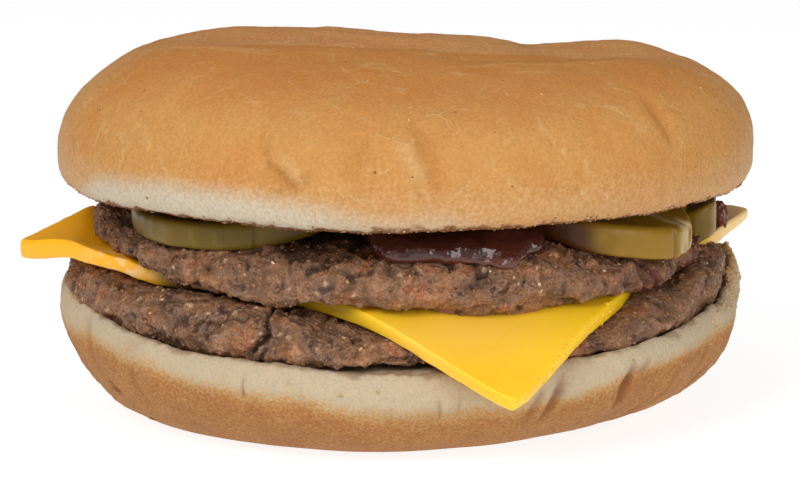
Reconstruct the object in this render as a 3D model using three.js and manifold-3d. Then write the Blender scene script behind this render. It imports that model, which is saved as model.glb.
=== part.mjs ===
// A hamburger with two beef patties, one slice of processed cheese between them, three pickle slices
// and ketchup, in a soft white bun. Each layer is a closed solid of its own, and so is a drop of ketchup.
// Millimetres, +Z up, front towards -Y. The origin is the centre of the bottom bun's flat base.
// Each layer lies on the one below it: its underside is that layer's top plus a hair's gap,
// so the whole stack is worked out from the bottom bun upwards.
import * as THREE from "three";
import { mergeVertices } from "three/addons/utils/BufferGeometryUtils.js";
import Module from "manifold-3d";

const wasm = await Module();
wasm.setup();

// Driving dimensions
const BUN_RADIUS = 50;
const STACK_GAP = 0.35;
const HEEL = { foot: 36.4, radius: 49.2, top: 13.0, rim: 13.3, boxy: 1.68 };
const LOWER_PATTY = { centre: -1, radius: 46.6, edge: 4.2, round: 2.3 };
const SLICE = { halfDiagonal: 57, thickness: 2.1, corner: 1.2, direction: -79, middle: 21.3, slope: 29 };
const SLICE_SHIFT = { forward: 1.4, across: -0.8, skew: 0.075 };
const UPPER_PATTY = { centre: -1.3, radius: 43.6, top: 29.9, edge: 4.2, round: 2.3 };
const PICKLES = {
  pickle_left: { x: -20.5, y: -18.5, radius: 17.3, thickness: 3.8 },
  pickle_right: { x: 25.2, y: -19.2, radius: 13.8, thickness: 4.3 },
  pickle_rear: { x: 35.7, y: 2.1, radius: 9.5, thickness: 5.4 },
};
const KETCHUP = { radius: 31, tongue: 11.6, direction: -77, depth: 3.1 };
const DROP = { x: 45.8, y: -1.1, z: 26.6, radius: 1.0, halfHeight: 1.8 };
const CROWN = { rim: 31.6, widest: 35.4, top: 51.9, hollow: 3.2, boxy: 2.8 };
const SEGMENTS = { bun: 64, patty: 72, ketchup: 48, pickle: 32 };

const radians = (degrees) => (degrees * Math.PI) / 180;
const mix = (a, b, share) => a + (b - a) * share;

// A smooth step from 0 to 1 as `at` goes from one value to another.
function smooth(from, to, at) {
  const t = Math.min(1, Math.max(0, (at - from) / (to - from)));
  return t * t * (3 - 2 * t);
}

const bell = (distance, width) => Math.exp(-((distance / width) ** 2));

// The angle between two directions in degrees, between -180 and 180.
const apart = (a, b) => ((((a - b) % 360) + 540) % 360) - 180;

const bearing = (x, y) => (Math.atan2(y, x) * 180) / Math.PI;

// A random value between -1 and 1 for a point of a whole-number lattice.
function latticeValue(i, j, k) {
  let n = Math.imul(i, 374761393) ^ Math.imul(j, 668265263) ^ Math.imul(k, 1274126177);
  n = Math.imul(n ^ (n >>> 13), 1274126177);
  return ((n ^ (n >>> 16)) >>> 0) / 2147483648 - 1;
}

// A smooth random field with lumps about one unit across.
function lumps(x, y, z) {
  const [i, j, k] = [x, y, z].map(Math.floor);
  const [u, v, w] = [x - i, y - j, z - k].map((t) => t * t * (3 - 2 * t));
  const along = (dj, dk) =>
    mix(latticeValue(i, j + dj, k + dk), latticeValue(i + 1, j + dj, k + dk), u);
  return mix(mix(along(0, 0), along(1, 0), v), mix(along(0, 1), along(1, 1), v), w);
}

// A closed surface of rings round a vertical axis. `rings` holds one description for each ring, from the
// centre of the underside round the rim to the centre of the top, and pointAt(ring, angle) places a point.
function ringSolid(rings, segments, pointAt) {
  const positions = [];
  const triangles = [];
  const inner = rings.slice(1, -1);
  positions.push(...pointAt(rings[0], 0));
  inner.forEach((ring) => {
    for (let j = 0; j < segments; j++) positions.push(...pointAt(ring, (j * 2 * Math.PI) / segments));
  });
  positions.push(...pointAt(rings.at(-1), 0));
  const last = 1 + inner.length * segments;
  const at = (i, j) => 1 + i * segments + (j % segments);
  for (let j = 0; j < segments; j++) {
    triangles.push(0, at(0, j + 1), at(0, j));
    triangles.push(last, at(inner.length - 1, j), at(inner.length - 1, j + 1));
    for (let i = 0; i + 1 < inner.length; i++) {
      triangles.push(at(i, j), at(i, j + 1), at(i + 1, j));
      triangles.push(at(i + 1, j), at(i, j + 1), at(i + 1, j + 1));
    }
  }
  const geometry = new THREE.BufferGeometry();
  geometry.setAttribute("position", new THREE.Float32BufferAttribute(positions, 3));
  geometry.setIndex(triangles);
  return geometry;
}

// The rings of a slab with a rounded rim. `in` is the share of the way in from the start of the rounding to
// the centre, `out` the share of the rounding's width, and `lift` runs from -1 at the underside to 1 on top.
function slabRings(underRings, rimRings, topRings, round) {
  const rings = [];
  for (let i = underRings; i >= 0; i--) rings.push({ in: (i / underRings) ** 1.4, out: 0, lift: -1 });
  for (let i = 1; i < rimRings; i++) {
    const turn = -Math.PI / 2 + (Math.PI * i) / rimRings;
    const out = Math.cos(turn) ** (2 / round);
    const lift = Math.sign(Math.sin(turn)) * Math.abs(Math.sin(turn)) ** (2 / round);
    rings.push({ in: 0, out, lift });
  }
  for (let i = 0; i <= topRings; i++) rings.push({ in: (i / topRings) ** 1.4, out: 0, lift: 1 });
  return rings;
}

// How far the layers turn up at the far left and right, where the wrapper pressed them.
const cup = (x) => 1.7 * Math.min(1.25, (Math.abs(x) / 44) ** 6);

// 1 round the front of the burger, fading out at its sides.
const frontness = (x, y) => smooth(0.1, 0.6, -y / Math.max(1, Math.hypot(x, y)));

// The way along the slice of cheese towards its front corner, and the way across to its right corner.
const FORWARD = [Math.cos(radians(SLICE.direction)), Math.sin(radians(SLICE.direction))];
const forwardOf = (x, y) => x * FORWARD[0] + y * FORWARD[1];
const acrossOf = (x, y) => y * FORWARD[0] - x * FORWARD[1];

// 0 up to `from`, then a curve that turns into a straight line of slope 1 at `to`.
function ramp(from, to, at) {
  if (at <= from) return 0;
  return at < to ? (at - from) ** 2 / (2 * (to - from)) : at - (from + to) / 2;
}

// The middle of the stack, between the patties, which the slice of cheese lies in.
function middle(x, y) {
  const thin = 1.5 * smooth(5, 36, x) * (1 - smooth(36, 45, x));
  return SLICE.middle + cup(x) - thin - 2.2 * smooth(26, 43, forwardOf(x, y));
}

// The bend in the slice: its front corner hangs down over the edge of the lower patty.
const BEND = { start: 36, end: 43.6 };
const bendDrop = (forward) => Math.tan(radians(SLICE.slope)) * ramp(BEND.start, BEND.end, forward);

function bendSlope(forward) {
  const share = (forward - BEND.start) / (BEND.end - BEND.start);
  return Math.tan(radians(SLICE.slope)) * Math.min(1, Math.max(0, share));
}

// The slice's right corner curls up past the end of the upper patty.
const rightCurl = (across) => 0.7 * smooth(42, 50, across);
const sliceTop = (x, y) => middle(x, y) + rightCurl(acrossOf(x, y)) + SLICE.thickness / 2;

// 1 past the slice's front left side, where the two patties close up on each other.
const pastSlice = (x, y) =>
  smooth(39.8, 42.2, -0.568 * x - 0.823 * y) * smooth(-37, -30, x) * (1 - smooth(-17, -9, x));

// Bottom bun: its cut face, and the torn crust rim round it that curls up highest at the back right.
// Its foot is smaller at the front right, and its front and right side are pressed in.
const heelTop = (x) => HEEL.top + 0.8 * cup(x);

function heelRim(x, y) {
  const sides = (x < 0 ? 2.4 : 5.0) * (Math.abs(x) / 48) ** 3;
  return HEEL.rim + sides + 1.2 * smooth(0, 45, y);
}

function heelGeometry() {
  const rings = [0, 0.6, 1].map((share) => ({ share, side: "base" }));
  const crustRings = 6;
  const power = 2 / HEEL.boxy;
  for (let i = 1; i <= crustRings; i++) {
    const turn = (Math.PI / 2) * (1 - i / crustRings);
    rings.push({ out: Math.cos(turn) ** power, drop: Math.sin(turn) ** power, side: "crust" });
  }
  rings.push({ out: 0.97, rise: 0.7, side: "lip" }, { out: 0.9, rise: 1, side: "lip" });
  [47.2, 45.6, 40, 24, 0].forEach((radius) => rings.push({ radius, side: "cut" }));
  return ringSolid(rings, SEGMENTS.bun, (ring, angle) => {
    const [c, s] = [Math.cos(angle), Math.sin(angle)];
    const bear = bearing(c, s);
    const pressedIn = 2.5 * bell(apart(bear, -74), 22) + 0.9 * bell(apart(bear, -5), 60);
    const foot = HEEL.foot - 6.5 * bell(apart(bear, -48), 38);
    const wander = 0.5 * lumps(c * 2.2 + 7, s * 2.2, 3.1) + 0.35 * lumps(c * 6, s * 6, 9.4);
    if (ring.side === "base") {
      const radius = ring.share * (foot + wander);
      return [c * radius, s * radius, 0];
    }
    const outer = HEEL.radius + wander - pressedIn;
    const rimHeight = heelRim(c * outer, s * outer);
    const widest = rimHeight - 3.2;
    if (ring.side === "crust") {
      const radius = mix(foot + wander, outer, ring.out);
      return [c * radius, s * radius, widest * (1 - ring.drop)];
    }
    if (ring.side === "lip") {
      const radius = mix(foot, outer, ring.out);
      return [c * radius, s * radius, mix(widest, rimHeight, ring.rise)];
    }
    const radius = Math.min(ring.radius, outer - 1.5);
    const [x, y] = [c * radius, s * radius];
    return [x, y, mix(heelTop(x), rimHeight, smooth(45.2, 48.4, ring.radius))];
  });
}

// Lower patty, up to the underside of the cheese.
const lowerBottom = (x) => heelTop(x) + STACK_GAP;

function lowerTop(x, y) {
  const bend = forwardOf(x, y);
  const half = (SLICE.thickness / 2 + 0.15) * Math.hypot(1, bendSlope(bend));
  return middle(x, y) - bendDrop(bend) - half - STACK_GAP + 1.3 * pastSlice(x, y);
}

// Upper patty: its top slopes down to the right, where it thins out.
const upperBottom = (x, y) => middle(x, y) + SLICE.thickness / 2 + STACK_GAP - 1.3 * pastSlice(x, y);

function upperTop(x, y) {
  const reach = Math.hypot(x, y);
  const shoulder = 2.4 * smooth(26, 44, reach) * frontness(x, y) + 1.0 * smooth(30, 44, reach);
  const right = 0.0037 * Math.max(0, x - 8) ** 2;
  return Math.max(UPPER_PATTY.top - shoulder - right, upperBottom(x, y) + 1.5);
}

// The top of the upper patty with its rounded rim, on which pickles and ketchup lie.
function upperSkin(x, y) {
  const reach = Math.hypot(x - UPPER_PATTY.centre, y);
  const out = Math.min(1, Math.max(0, (reach - UPPER_PATTY.radius) / UPPER_PATTY.edge + 1));
  const half = (upperTop(x, y) - upperBottom(x, y)) / 2;
  return upperTop(x, y) - half * (1 - (1 - out ** UPPER_PATTY.round) ** (1 / UPPER_PATTY.round));
}

// A patty of minced beef between two faces, with a craggy rim that bulges and breaks into lumps.
function pattyGeometry({ centre, radius, edge, round }, bottom, top, pressedIn, flat, seed) {
  return ringSolid(slabRings(flat.under, 6, flat.top, round), SEGMENTS.patty, (ring, angle) => {
    const [c, s] = [Math.cos(angle), Math.sin(angle)];
    const reach = radius - pressedIn(c, s);
    const crag = 0.9 * lumps(c * 7, s * 7, ring.lift * 1.2 + seed)
      + 0.6 * lumps(c * 12, s * 12, ring.lift * 2 + seed + 5);
    const from = (reach - edge) * (ring.in > 0 ? 1 - ring.in : 1);
    const r = from + (edge + crag * ring.out) * ring.out;
    const [x, y] = [centre + c * r, s * r];
    return [x, y, mix(bottom(x, y), top(x, y), (ring.lift + 1) / 2)];
  });
}

// The slice of cheese, bent over the lower patty: its flat coordinates run from its centre towards its
// front corner and its right corner, and `lift` runs from -1 at the underside to 1 on top. Its two front
// edges are drawn in where the patties squeeze them, and its side corners are a little crumpled.
function bentSlice(toFront, toRight, lift) {
  const squeezed = 1 - 0.09 * bell(toRight + 31, 10) - 0.14 * bell(toRight - 35, 8);
  const reach = toFront * squeezed + SLICE_SHIFT.forward;
  const forward = reach - (1 - Math.cos(radians(SLICE.slope))) * ramp(BEND.start, BEND.end + 1, reach);
  const crumpled = (toRight > 0 ? 0.075 : 0.03) * (toRight / SLICE.halfDiagonal) ** 2;
  const across = SLICE_SHIFT.across + SLICE_SHIFT.skew * forward + toRight * (1 - crumpled);
  const [x, y] = [forward * FORWARD[0] - across * FORWARD[1], forward * FORWARD[1] + across * FORWARD[0]];
  const slope = bendSlope(forward);
  const half = (lift * SLICE.thickness) / 2 / Math.hypot(1, slope);
  return [
    x + half * slope * FORWARD[0],
    y + half * slope * FORWARD[1],
    middle(x, y) + rightCurl(across) - bendDrop(forward) + half,
  ];
}

const cheeseGeometry = () => squareSlab(18, SLICE.halfDiagonal, SLICE.corner, bentSlice);

// A square slab of `cells` by `cells` with blunted corners that lie on its two axes. place(a, b, lift)
// carries each of its points.
function squareSlab(cells, halfDiagonal, blunt, place) {
  const positions = [];
  const triangles = [];
  const n = cells + 1;
  for (const lift of [-1, 1])
    for (let i = 0; i < n; i++)
      for (let j = 0; j < n; j++) {
        const [u, v] = [(2 * i) / cells - 1, (2 * j) / cells - 1];
        const corner = Math.abs(u) === 1 && Math.abs(v) === 1 ? 1 - blunt / halfDiagonal : 1;
        const half = (halfDiagonal * corner) / 2;
        positions.push(...place((u + v) * half, (v - u) * half, lift));
      }
  const at = (side, i, j) => side * n * n + i * n + j;
  for (let i = 0; i < cells; i++)
    for (let j = 0; j < cells; j++) {
      triangles.push(at(1, i, j), at(1, i + 1, j), at(1, i, j + 1));
      triangles.push(at(1, i, j + 1), at(1, i + 1, j), at(1, i + 1, j + 1));
      triangles.push(at(0, i, j), at(0, i, j + 1), at(0, i + 1, j));
      triangles.push(at(0, i, j + 1), at(0, i + 1, j + 1), at(0, i + 1, j));
    }
  const wall = (i0, j0, i1, j1) => {
    triangles.push(at(0, i0, j0), at(0, i1, j1), at(1, i0, j0));
    triangles.push(at(1, i0, j0), at(0, i1, j1), at(1, i1, j1));
  };
  for (let i = 0; i < cells; i++) {
    wall(i, 0, i + 1, 0);
    wall(cells, i, cells, i + 1);
    wall(cells - i, cells, cells - i - 1, cells);
    wall(0, cells - i, 0, cells - i - 1);
  }
  const geometry = new THREE.BufferGeometry();
  geometry.setAttribute("position", new THREE.Float32BufferAttribute(positions, 3));
  geometry.setIndex(triangles);
  return geometry;
}

// A limp slice of pickle that lies on the upper patty, or past its end on the cheese, and follows them.
function pickleGeometry({ x: cx, y: cy, radius, thickness }, seed) {
  const edge = 1.0;
  return ringSolid(slabRings(2, 4, 2, 5), SEGMENTS.pickle, (ring, angle) => {
    const [c, s] = [Math.cos(angle), Math.sin(angle)];
    const reach = radius + 0.35 * lumps(c * 2 + seed, s * 2, seed);
    const r = ring.in > 0 ? (reach - edge) * (1 - ring.in) : reach - edge * (1 - ring.out);
    const [x, y] = [cx + c * r, cy + s * r];
    const base = Math.max(upperTop(x, y), sliceTop(x, y)) + STACK_GAP;
    return [x, y, base + (thickness * (ring.lift + 1)) / 2];
  });
}

// Top bun: the hollow of its cut face, over the fillings.
const crownUnder = (x, y) => CROWN.rim + CROWN.hollow * (1 - smooth(28, 47.5, Math.hypot(x, y)));

// The height its dome would have at the middle: sunk in a furrow from side to side, higher at the left,
// with a notch across its far edge.
function crownTop(x, y) {
  const along = smooth(-42, -24, x) * (1 - smooth(30, 46, x));
  const furrow = 3.2 * bell(y - 4, 13) * along;
  const notch = 1.5 * bell(x - 19, 6) * smooth(2, 22, y);
  const far = 1.6 * smooth(8, 34, y) * bell(x - 4, 22);
  const humps = 2.3 * bell(x + 32, 15) + 1.9 * bell(x - 36.5, 11);
  return CROWN.top - 0.035 * x - furrow - notch - far + humps;
}

function crownGeometry() {
  const rings = [0, 14, 28, 38, 44].map((under) => ({ under }));
  [[0.932, 0], [0.965, 0.06], [0.988, 0.35]].forEach(([share, rise]) => rings.push({ share, rise }));
  const domeRings = 11;
  for (let i = 0; i <= domeRings; i++) rings.push({ turn: (Math.PI / 2) * (i / domeRings) ** 0.9 });
  return ringSolid(rings, SEGMENTS.bun, (ring, angle) => {
    const [c, s] = [Math.cos(angle), Math.sin(angle)];
    const reach = BUN_RADIUS - 0.3 + 0.5 * lumps(c * 2 + 3, s * 2, 5.5);
    const power = 2 / (CROWN.boxy + 0.45 * c);
    const share = ring.share ?? Math.max(0, Math.cos(ring.turn)) ** power;
    const r = ring.under ?? share * reach;
    const [x, y] = [c * r, s * r];
    const rim = CROWN.rim + 0.35 * lumps(c * 3, s * 3, 1.7) + 0.4 * smooth(0, 30, x);
    if (ring.under !== undefined) return [x, y, crownUnder(x, y) + 0.1 * (rim - CROWN.rim)];
    if (ring.rise !== undefined) return [x, y, mix(rim, CROWN.widest, ring.rise)];
    return [x, y, mix(CROWN.widest, crownTop(x, y), Math.sin(ring.turn) ** power)];
  });
}

// Ketchup: a flat puddle on the upper patty with one broad tongue that bulges out at the front.
function ketchupGeometry() {
  const edge = 2.2;
  return ringSolid(slabRings(2, 4, 3, 2), SEGMENTS.ketchup, (ring, angle) => {
    const [c, s] = [Math.cos(angle), Math.sin(angle)];
    const tongue = 1 - smooth(14, 24, Math.abs(apart(bearing(c, s), KETCHUP.direction)));
    const reach = KETCHUP.radius + KETCHUP.tongue * tongue + 1.3 * lumps(c * 4, s * 4, 8.2);
    const from = (reach - edge) * (ring.in > 0 ? 1 - ring.in : 1);
    const r = from + edge * ring.out;
    const [x, y] = [c * r, s * r];
    const low = upperSkin(x, y) + STACK_GAP;
    const high = Math.min(low + KETCHUP.depth, crownUnder(x, y) - STACK_GAP);
    return [x, y, mix(low, high, (ring.lift + 1) / 2)];
  });
}

// A drop of ketchup squeezed out at the right end.
function dropGeometry() {
  const ball = new THREE.SphereGeometry(1, 14, 9);
  ball.deleteAttribute("normal").deleteAttribute("uv");
  ball.scale(DROP.radius, DROP.radius, DROP.halfHeight).translate(DROP.x, DROP.y, DROP.z);
  return mergeVertices(ball, 1e-4);
}

// A geometry as a solid that can be cut, and back.
function solidOf(geometry) {
  const merged = mergeVertices(geometry, 1e-4);
  return new wasm.Manifold(new wasm.Mesh({
    numProp: 3,
    vertProperties: merged.attributes.position.array,
    triVerts: new Uint32Array(merged.index.array),
  }));
}

function geometryOf(solid) {
  const mesh = solid.getMesh();
  const geometry = new THREE.BufferGeometry();
  geometry.setAttribute("position", new THREE.BufferAttribute(mesh.vertProperties, 3));
  geometry.setIndex(new THREE.BufferAttribute(mesh.triVerts, 1));
  return geometry;
}

// The ketchup flows over the patty and round the pickles, which are cut out of it with a little room.
function cutKetchup(geometry, patty) {
  const clear = 0.8;
  let solid = solidOf(geometry).subtract(solidOf(patty).translate([0, 0, STACK_GAP]));
  Object.values(PICKLES).forEach(({ x, y, radius }) => {
    const room = new THREE.CylinderGeometry(radius + clear, radius + clear, 20, SEGMENTS.pickle);
    room.rotateX(Math.PI / 2).translate(x, y, UPPER_PATTY.top);
    solid = solid.subtract(solidOf(room.deleteAttribute("normal").deleteAttribute("uv")));
  });
  const [largest] = solid.decompose().sort((a, b) => b.volume() - a.volume());
  return geometryOf(largest);
}

const burger = new THREE.Group();

function add(name, geometry, color, roughness) {
  const material = new THREE.MeshStandardMaterial({ color, roughness, metalness: 0 });
  const mesh = new THREE.Mesh(geometry, material);
  mesh.name = name;
  burger.add(mesh);
}

add("heel", heelGeometry(), 0xc98f56, 0.85);

// The lower patty is flattened at the front, under the bend in the cheese.
const lowerInset = (c, s) => 2.9 * bell(apart(bearing(c, s), -77), 20) - 0.2 * smooth(0.5, 1, -c);
const lowerRings = { under: 2, top: 5 };
const lowerPatty = pattyGeometry(LOWER_PATTY, lowerBottom, lowerTop, lowerInset, lowerRings, 1);
add("patty_lower", lowerPatty, 0x6f5144, 0.7);

add("cheese", cheeseGeometry(), 0xffc21a, 0.45);

const upperRings = { under: 5, top: 3 };
const upperPatty = pattyGeometry(UPPER_PATTY, upperBottom, upperTop, () => 0, upperRings, 11);
add("patty_upper", upperPatty, 0x79594a, 0.7);

Object.entries(PICKLES).forEach(([name, slice], i) => {
  add(name, pickleGeometry(slice, 3 + 2 * i), 0x8f8438, 0.35);
});

add("ketchup", cutKetchup(ketchupGeometry(), upperPatty), 0x6e1f10, 0.2);

add("ketchup_drop", dropGeometry(), 0x6e1f10, 0.2);

add("crown", crownGeometry(), 0xd29a58, 0.8);

export default burger;
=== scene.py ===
# A cheeseburger in a soft bun: bread, minced beef, processed cheese, pickle and ketchup, each dressed
# over its plain solid. Sizes are in millimetres until a mesh is made. Front is -Y, up is +Z.
import math

import bpy
import numpy as np
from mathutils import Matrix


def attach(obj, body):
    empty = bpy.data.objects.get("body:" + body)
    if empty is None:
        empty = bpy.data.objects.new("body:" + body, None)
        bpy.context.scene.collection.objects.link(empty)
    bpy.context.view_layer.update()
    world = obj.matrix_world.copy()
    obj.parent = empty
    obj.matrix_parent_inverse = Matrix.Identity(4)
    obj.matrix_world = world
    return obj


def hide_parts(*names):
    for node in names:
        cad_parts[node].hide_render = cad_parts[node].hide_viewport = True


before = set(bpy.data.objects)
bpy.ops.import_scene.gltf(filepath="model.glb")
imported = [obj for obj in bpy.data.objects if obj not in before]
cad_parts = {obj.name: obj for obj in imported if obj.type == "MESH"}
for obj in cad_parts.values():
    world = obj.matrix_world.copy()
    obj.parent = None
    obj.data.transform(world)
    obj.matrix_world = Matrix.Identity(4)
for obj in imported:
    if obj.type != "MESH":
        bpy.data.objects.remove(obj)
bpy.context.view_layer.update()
MM = 0.001

# Camera. A long lens straight in front and a little above the middle of the burger, so that the top of the
# bun is seen at a low angle and the far corners of the cheese still show.
VIEW = {"elevation": 10.1, "distance": 425.6, "target": (-0.6, 0.0, 22.1), "lens": 133.5, "sensor": 36.0}

camera = bpy.data.objects.new("camera", bpy.data.cameras.new("camera"))
bpy.context.scene.collection.objects.link(camera)
tilt = math.radians(VIEW["elevation"])
away = np.array([0.0, -math.cos(tilt), math.sin(tilt)]) * VIEW["distance"]
camera.location = (np.array(VIEW["target"]) + away) * MM
camera.rotation_euler = (math.pi / 2 - tilt, 0, 0)
camera.data.lens = VIEW["lens"]
camera.data.sensor_width = VIEW["sensor"]
camera.data.clip_start = 0.01
bpy.context.scene.camera = camera
bpy.context.scene.view_settings.view_transform = "Standard"


# Studio. A white light table, two large soft lights in front, the left one stronger, and a weak wide one
# overhead. The room is dim behind the burger, so nothing bright glares on it at a low angle.
def add(tree, kind, settings, inputs):
    """Adds a node with its settings and inputs, by name or number: an output is linked, a value is set."""
    node = tree.nodes.new(kind)
    for name, value in settings.items():
        setattr(node, name, value)
    for socket, value in inputs.items():
        if isinstance(value, bpy.types.NodeSocket):
            tree.links.new(value, node.inputs[socket])
        else:
            node.inputs[socket].default_value = value
    return node


def linear(colour):
    """An sRGB hex colour as linear red, green, blue and alpha."""
    shares = [int(colour[i:i + 2], 16) / 255 for i in (1, 3, 5)]
    return [c / 12.92 if c <= 0.04045 else ((c + 0.055) / 1.055) ** 2.4 for c in shares] + [1.0]


STUDIO = {"in_front": 0.5, "behind": 0.1, "table": 0.85}
LIGHTS = {
    "key": {"from": (-420, -610, 560), "size": 400, "watts": 4.1},
    "fill": {"from": (540, -640, 260), "size": 420, "watts": 2.1},
    "overhead": {"from": (-60, 40, 800), "size": 600, "watts": 1.4},
}

world = bpy.data.worlds.new("studio")
bpy.context.scene.world = world
world.use_nodes = True
sky = world.node_tree
direction = add(sky, "ShaderNodeTexCoord", {}, {}).outputs["Generated"]
ahead = add(sky, "ShaderNodeSeparateXYZ", {}, {0: direction}).outputs["Y"]
glow = add(sky, "ShaderNodeMapRange", {}, {"Value": ahead, "From Min": -0.5, "From Max": 0.35,
                                           "To Min": STUDIO["in_front"], "To Max": STUDIO["behind"]})
sky.links.new(glow.outputs[0], sky.nodes["Background"].inputs["Strength"])
sky.nodes["Background"].inputs["Color"].default_value = (1, 1, 1, 1)

for name, light in LIGHTS.items():
    lamp = bpy.data.objects.new(name, bpy.data.lights.new(name, "AREA"))
    bpy.context.scene.collection.objects.link(lamp)
    lamp.data.size = light["size"] * MM
    lamp.data.energy = light["watts"]
    place = np.array(light["from"], float)
    lamp.location = place * MM
    reach = np.linalg.norm(place)
    lamp.rotation_euler = (math.acos(place[2] / reach), 0, math.atan2(place[1], place[0]) + math.pi / 2)

floor_mesh = bpy.data.meshes.new("floor")
FLOOR = 2.5
floor_mesh.from_pydata([(-FLOOR, -FLOOR, 0), (FLOOR, -FLOOR, 0), (FLOOR, FLOOR, 0), (-FLOOR, FLOOR, 0)],
                       [], [(0, 1, 2, 3)])
floor = bpy.data.objects.new("floor", floor_mesh)
bpy.context.scene.collection.objects.link(floor)
paper = bpy.data.materials.new("white studio paper")
paper.use_nodes = True
lit_paper = paper.node_tree.nodes["Principled BSDF"]
lit_paper.inputs["Base Color"].default_value = linear("#8c8c8c")
lit_paper.inputs["Roughness"].default_value = 0.95
lit_paper.inputs["Emission Color"].default_value = (1, 1, 1, 1)
lit_paper.inputs["Emission Strength"].default_value = STUDIO["table"]
floor_mesh.materials.append(paper)


# Bottom bun. Soft wheat bread, cut through and toasted, its foot narrower than the torn rim that curls up
# at both ends. Its crust is baked brown below and stays cream near the cut, with wrinkles at the front.
def smooth(low, high, at):
    """A smooth step from 0 to 1 as `at` goes from one value to another."""
    t = np.clip((at - low) / (high - low), 0, 1)
    return t * t * (3 - 2 * t)


def bell(distance, width):
    """A soft hump, 1 at no distance and near 0 from about twice the width."""
    return np.exp(-((distance / width) ** 2))


def mix(a, b, share):
    """A share of the way from one value to another."""
    return a + (b - a) * share


def apart(a, b):
    """The angle between two directions in degrees, between -180 and 180."""
    return (a - b + 540) % 360 - 180


def lattice(i, j, k):
    """A random value between -1 and 1 for each point of a whole-number lattice."""
    i, j, k = (np.asarray(v).astype(np.int64).astype(np.uint32) for v in (i, j, k))
    n = i * np.uint32(374761393) ^ j * np.uint32(668265263) ^ k * np.uint32(1274126177)
    n = (n ^ (n >> np.uint32(13))) * np.uint32(1274126177)
    return (n ^ (n >> np.uint32(16))).astype(float) / 2147483648 - 1


def lumps(x, y, z):
    """A smooth random field with lumps about one unit across."""
    x, y, z = np.broadcast_arrays(x, y, z)
    i, j, k = np.floor(x), np.floor(y), np.floor(z)
    u, v, w = (t * t * (3 - 2 * t) for t in (x - i, y - j, z - k))
    total = 0.0
    for a, share_a in ((0, 1 - u), (1, u)):
        for b, share_b in ((0, 1 - v), (1, v)):
            for c, share_c in ((0, 1 - w), (1, w)):
                total = total + lattice(i + a, j + b, k + c) * share_a * share_b * share_c
    return total


def field(grid, size, seed=0.0, octaves=1):
    """Lumps of a size in mm over a grid of points, with finer ones added at half the size and height."""
    total = 0.0
    for octave in range(octaves):
        q = grid / size * 2 ** octave + seed + 17.3 * octave
        total = total + lumps(q[..., 0], q[..., 1], q[..., 2]) / 2 ** octave
    return total


def directions(count, finer=0.42):
    """Angles round a piece, closer together at the front, with their cosines and sines."""
    turn = np.linspace(0, 2 * np.pi, count, endpoint=False)
    angle = turn - finer * np.cos(turn)
    return np.degrees(angle), np.cos(angle), np.sin(angle)


def outward(grid):
    """The outward normals of a grid of rings."""
    along = np.roll(grid, -1, axis=1) - np.roll(grid, 1, axis=1)
    normal = np.cross(along, np.gradient(grid, axis=0))
    return normal / np.maximum(np.linalg.norm(normal, axis=2, keepdims=True), 1e-9)


def raised(grid, height):
    """A grid of rings with every point moved out by a height."""
    grid = grid + outward(grid) * height[..., None]
    grid[0] = grid[1].mean(axis=0)
    grid[-1] = grid[-2].mean(axis=0)
    return grid


def from_line(across, up, path):
    """How far each point is from a line through a few points, and how far along the line, from 0 to 1."""
    nearest = np.full(np.shape(across), np.inf)
    along = np.zeros(np.shape(across))
    for step, ((a0, b0), (a1, b1)) in enumerate(zip(path, path[1:])):
        da, db = a1 - a0, b1 - b0
        share = np.clip(((across - a0) * da + (up - b0) * db) / (da * da + db * db), 0, 1)
        distance = np.hypot(across - a0 - share * da, up - b0 - share * db)
        along = np.where(distance < nearest, (step + share) / (len(path) - 1), along)
        nearest = np.minimum(nearest, distance)
    return nearest, along


def swellings(bearing, places):
    """Soft swellings round a piece, added up, each with a bearing and width in degrees and a size in mm."""
    return sum(height * bell(apart(bearing, at), width) for at, width, height in places)


def flat_list(values):
    """A grid's values in the order of the points of its mesh."""
    return np.concatenate([values[:1, 0], values[1:-1].reshape(-1, *values.shape[2:]), values[-1:, 0]])


def ring_piece(name, grid, material, **masks):
    """A closed smooth object from a grid of rings, from the middle of the underside to that of the top."""
    rings, segments = grid.shape[:2]
    at = 1 + np.arange((rings - 2) * segments).reshape(rings - 2, segments)
    after = np.roll(at, -1, axis=1)
    last = np.full(segments, at[-1, -1] + 1)
    quads = np.stack([at[:-1], after[:-1], after[1:], at[1:]], axis=-1).reshape(-1, 4)
    under = np.stack([last * 0, after[0], at[0]], axis=-1)
    top = np.stack([last, at[-1], after[-1]], axis=-1)
    mesh = bpy.data.meshes.new(name)
    mesh.from_pydata((flat_list(grid) * MM).tolist(), [], quads.tolist() + under.tolist() + top.tolist())
    mesh.shade_smooth()
    for mask, values in masks.items():
        values = np.broadcast_to(values, grid.shape[:2])
        mesh.attributes.new(mask, "FLOAT", "POINT").data.foreach_set("value", flat_list(values))
    mesh.materials.append(material)
    piece = bpy.data.objects.new(name, mesh)
    bpy.context.scene.collection.objects.link(piece)
    return piece


def new_material(name):
    """A material, its tree, its shader and its Object coordinates."""
    material = bpy.data.materials.new(name)
    material.use_nodes = True
    tree = material.node_tree
    place = add(tree, "ShaderNodeTexCoord", {}, {}).outputs["Object"]
    return material, tree, tree.nodes["Principled BSDF"], place


def per_mm(size):
    """The scale that gives a noise features of a size in mm."""
    return 1 / (size * MM)


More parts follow.
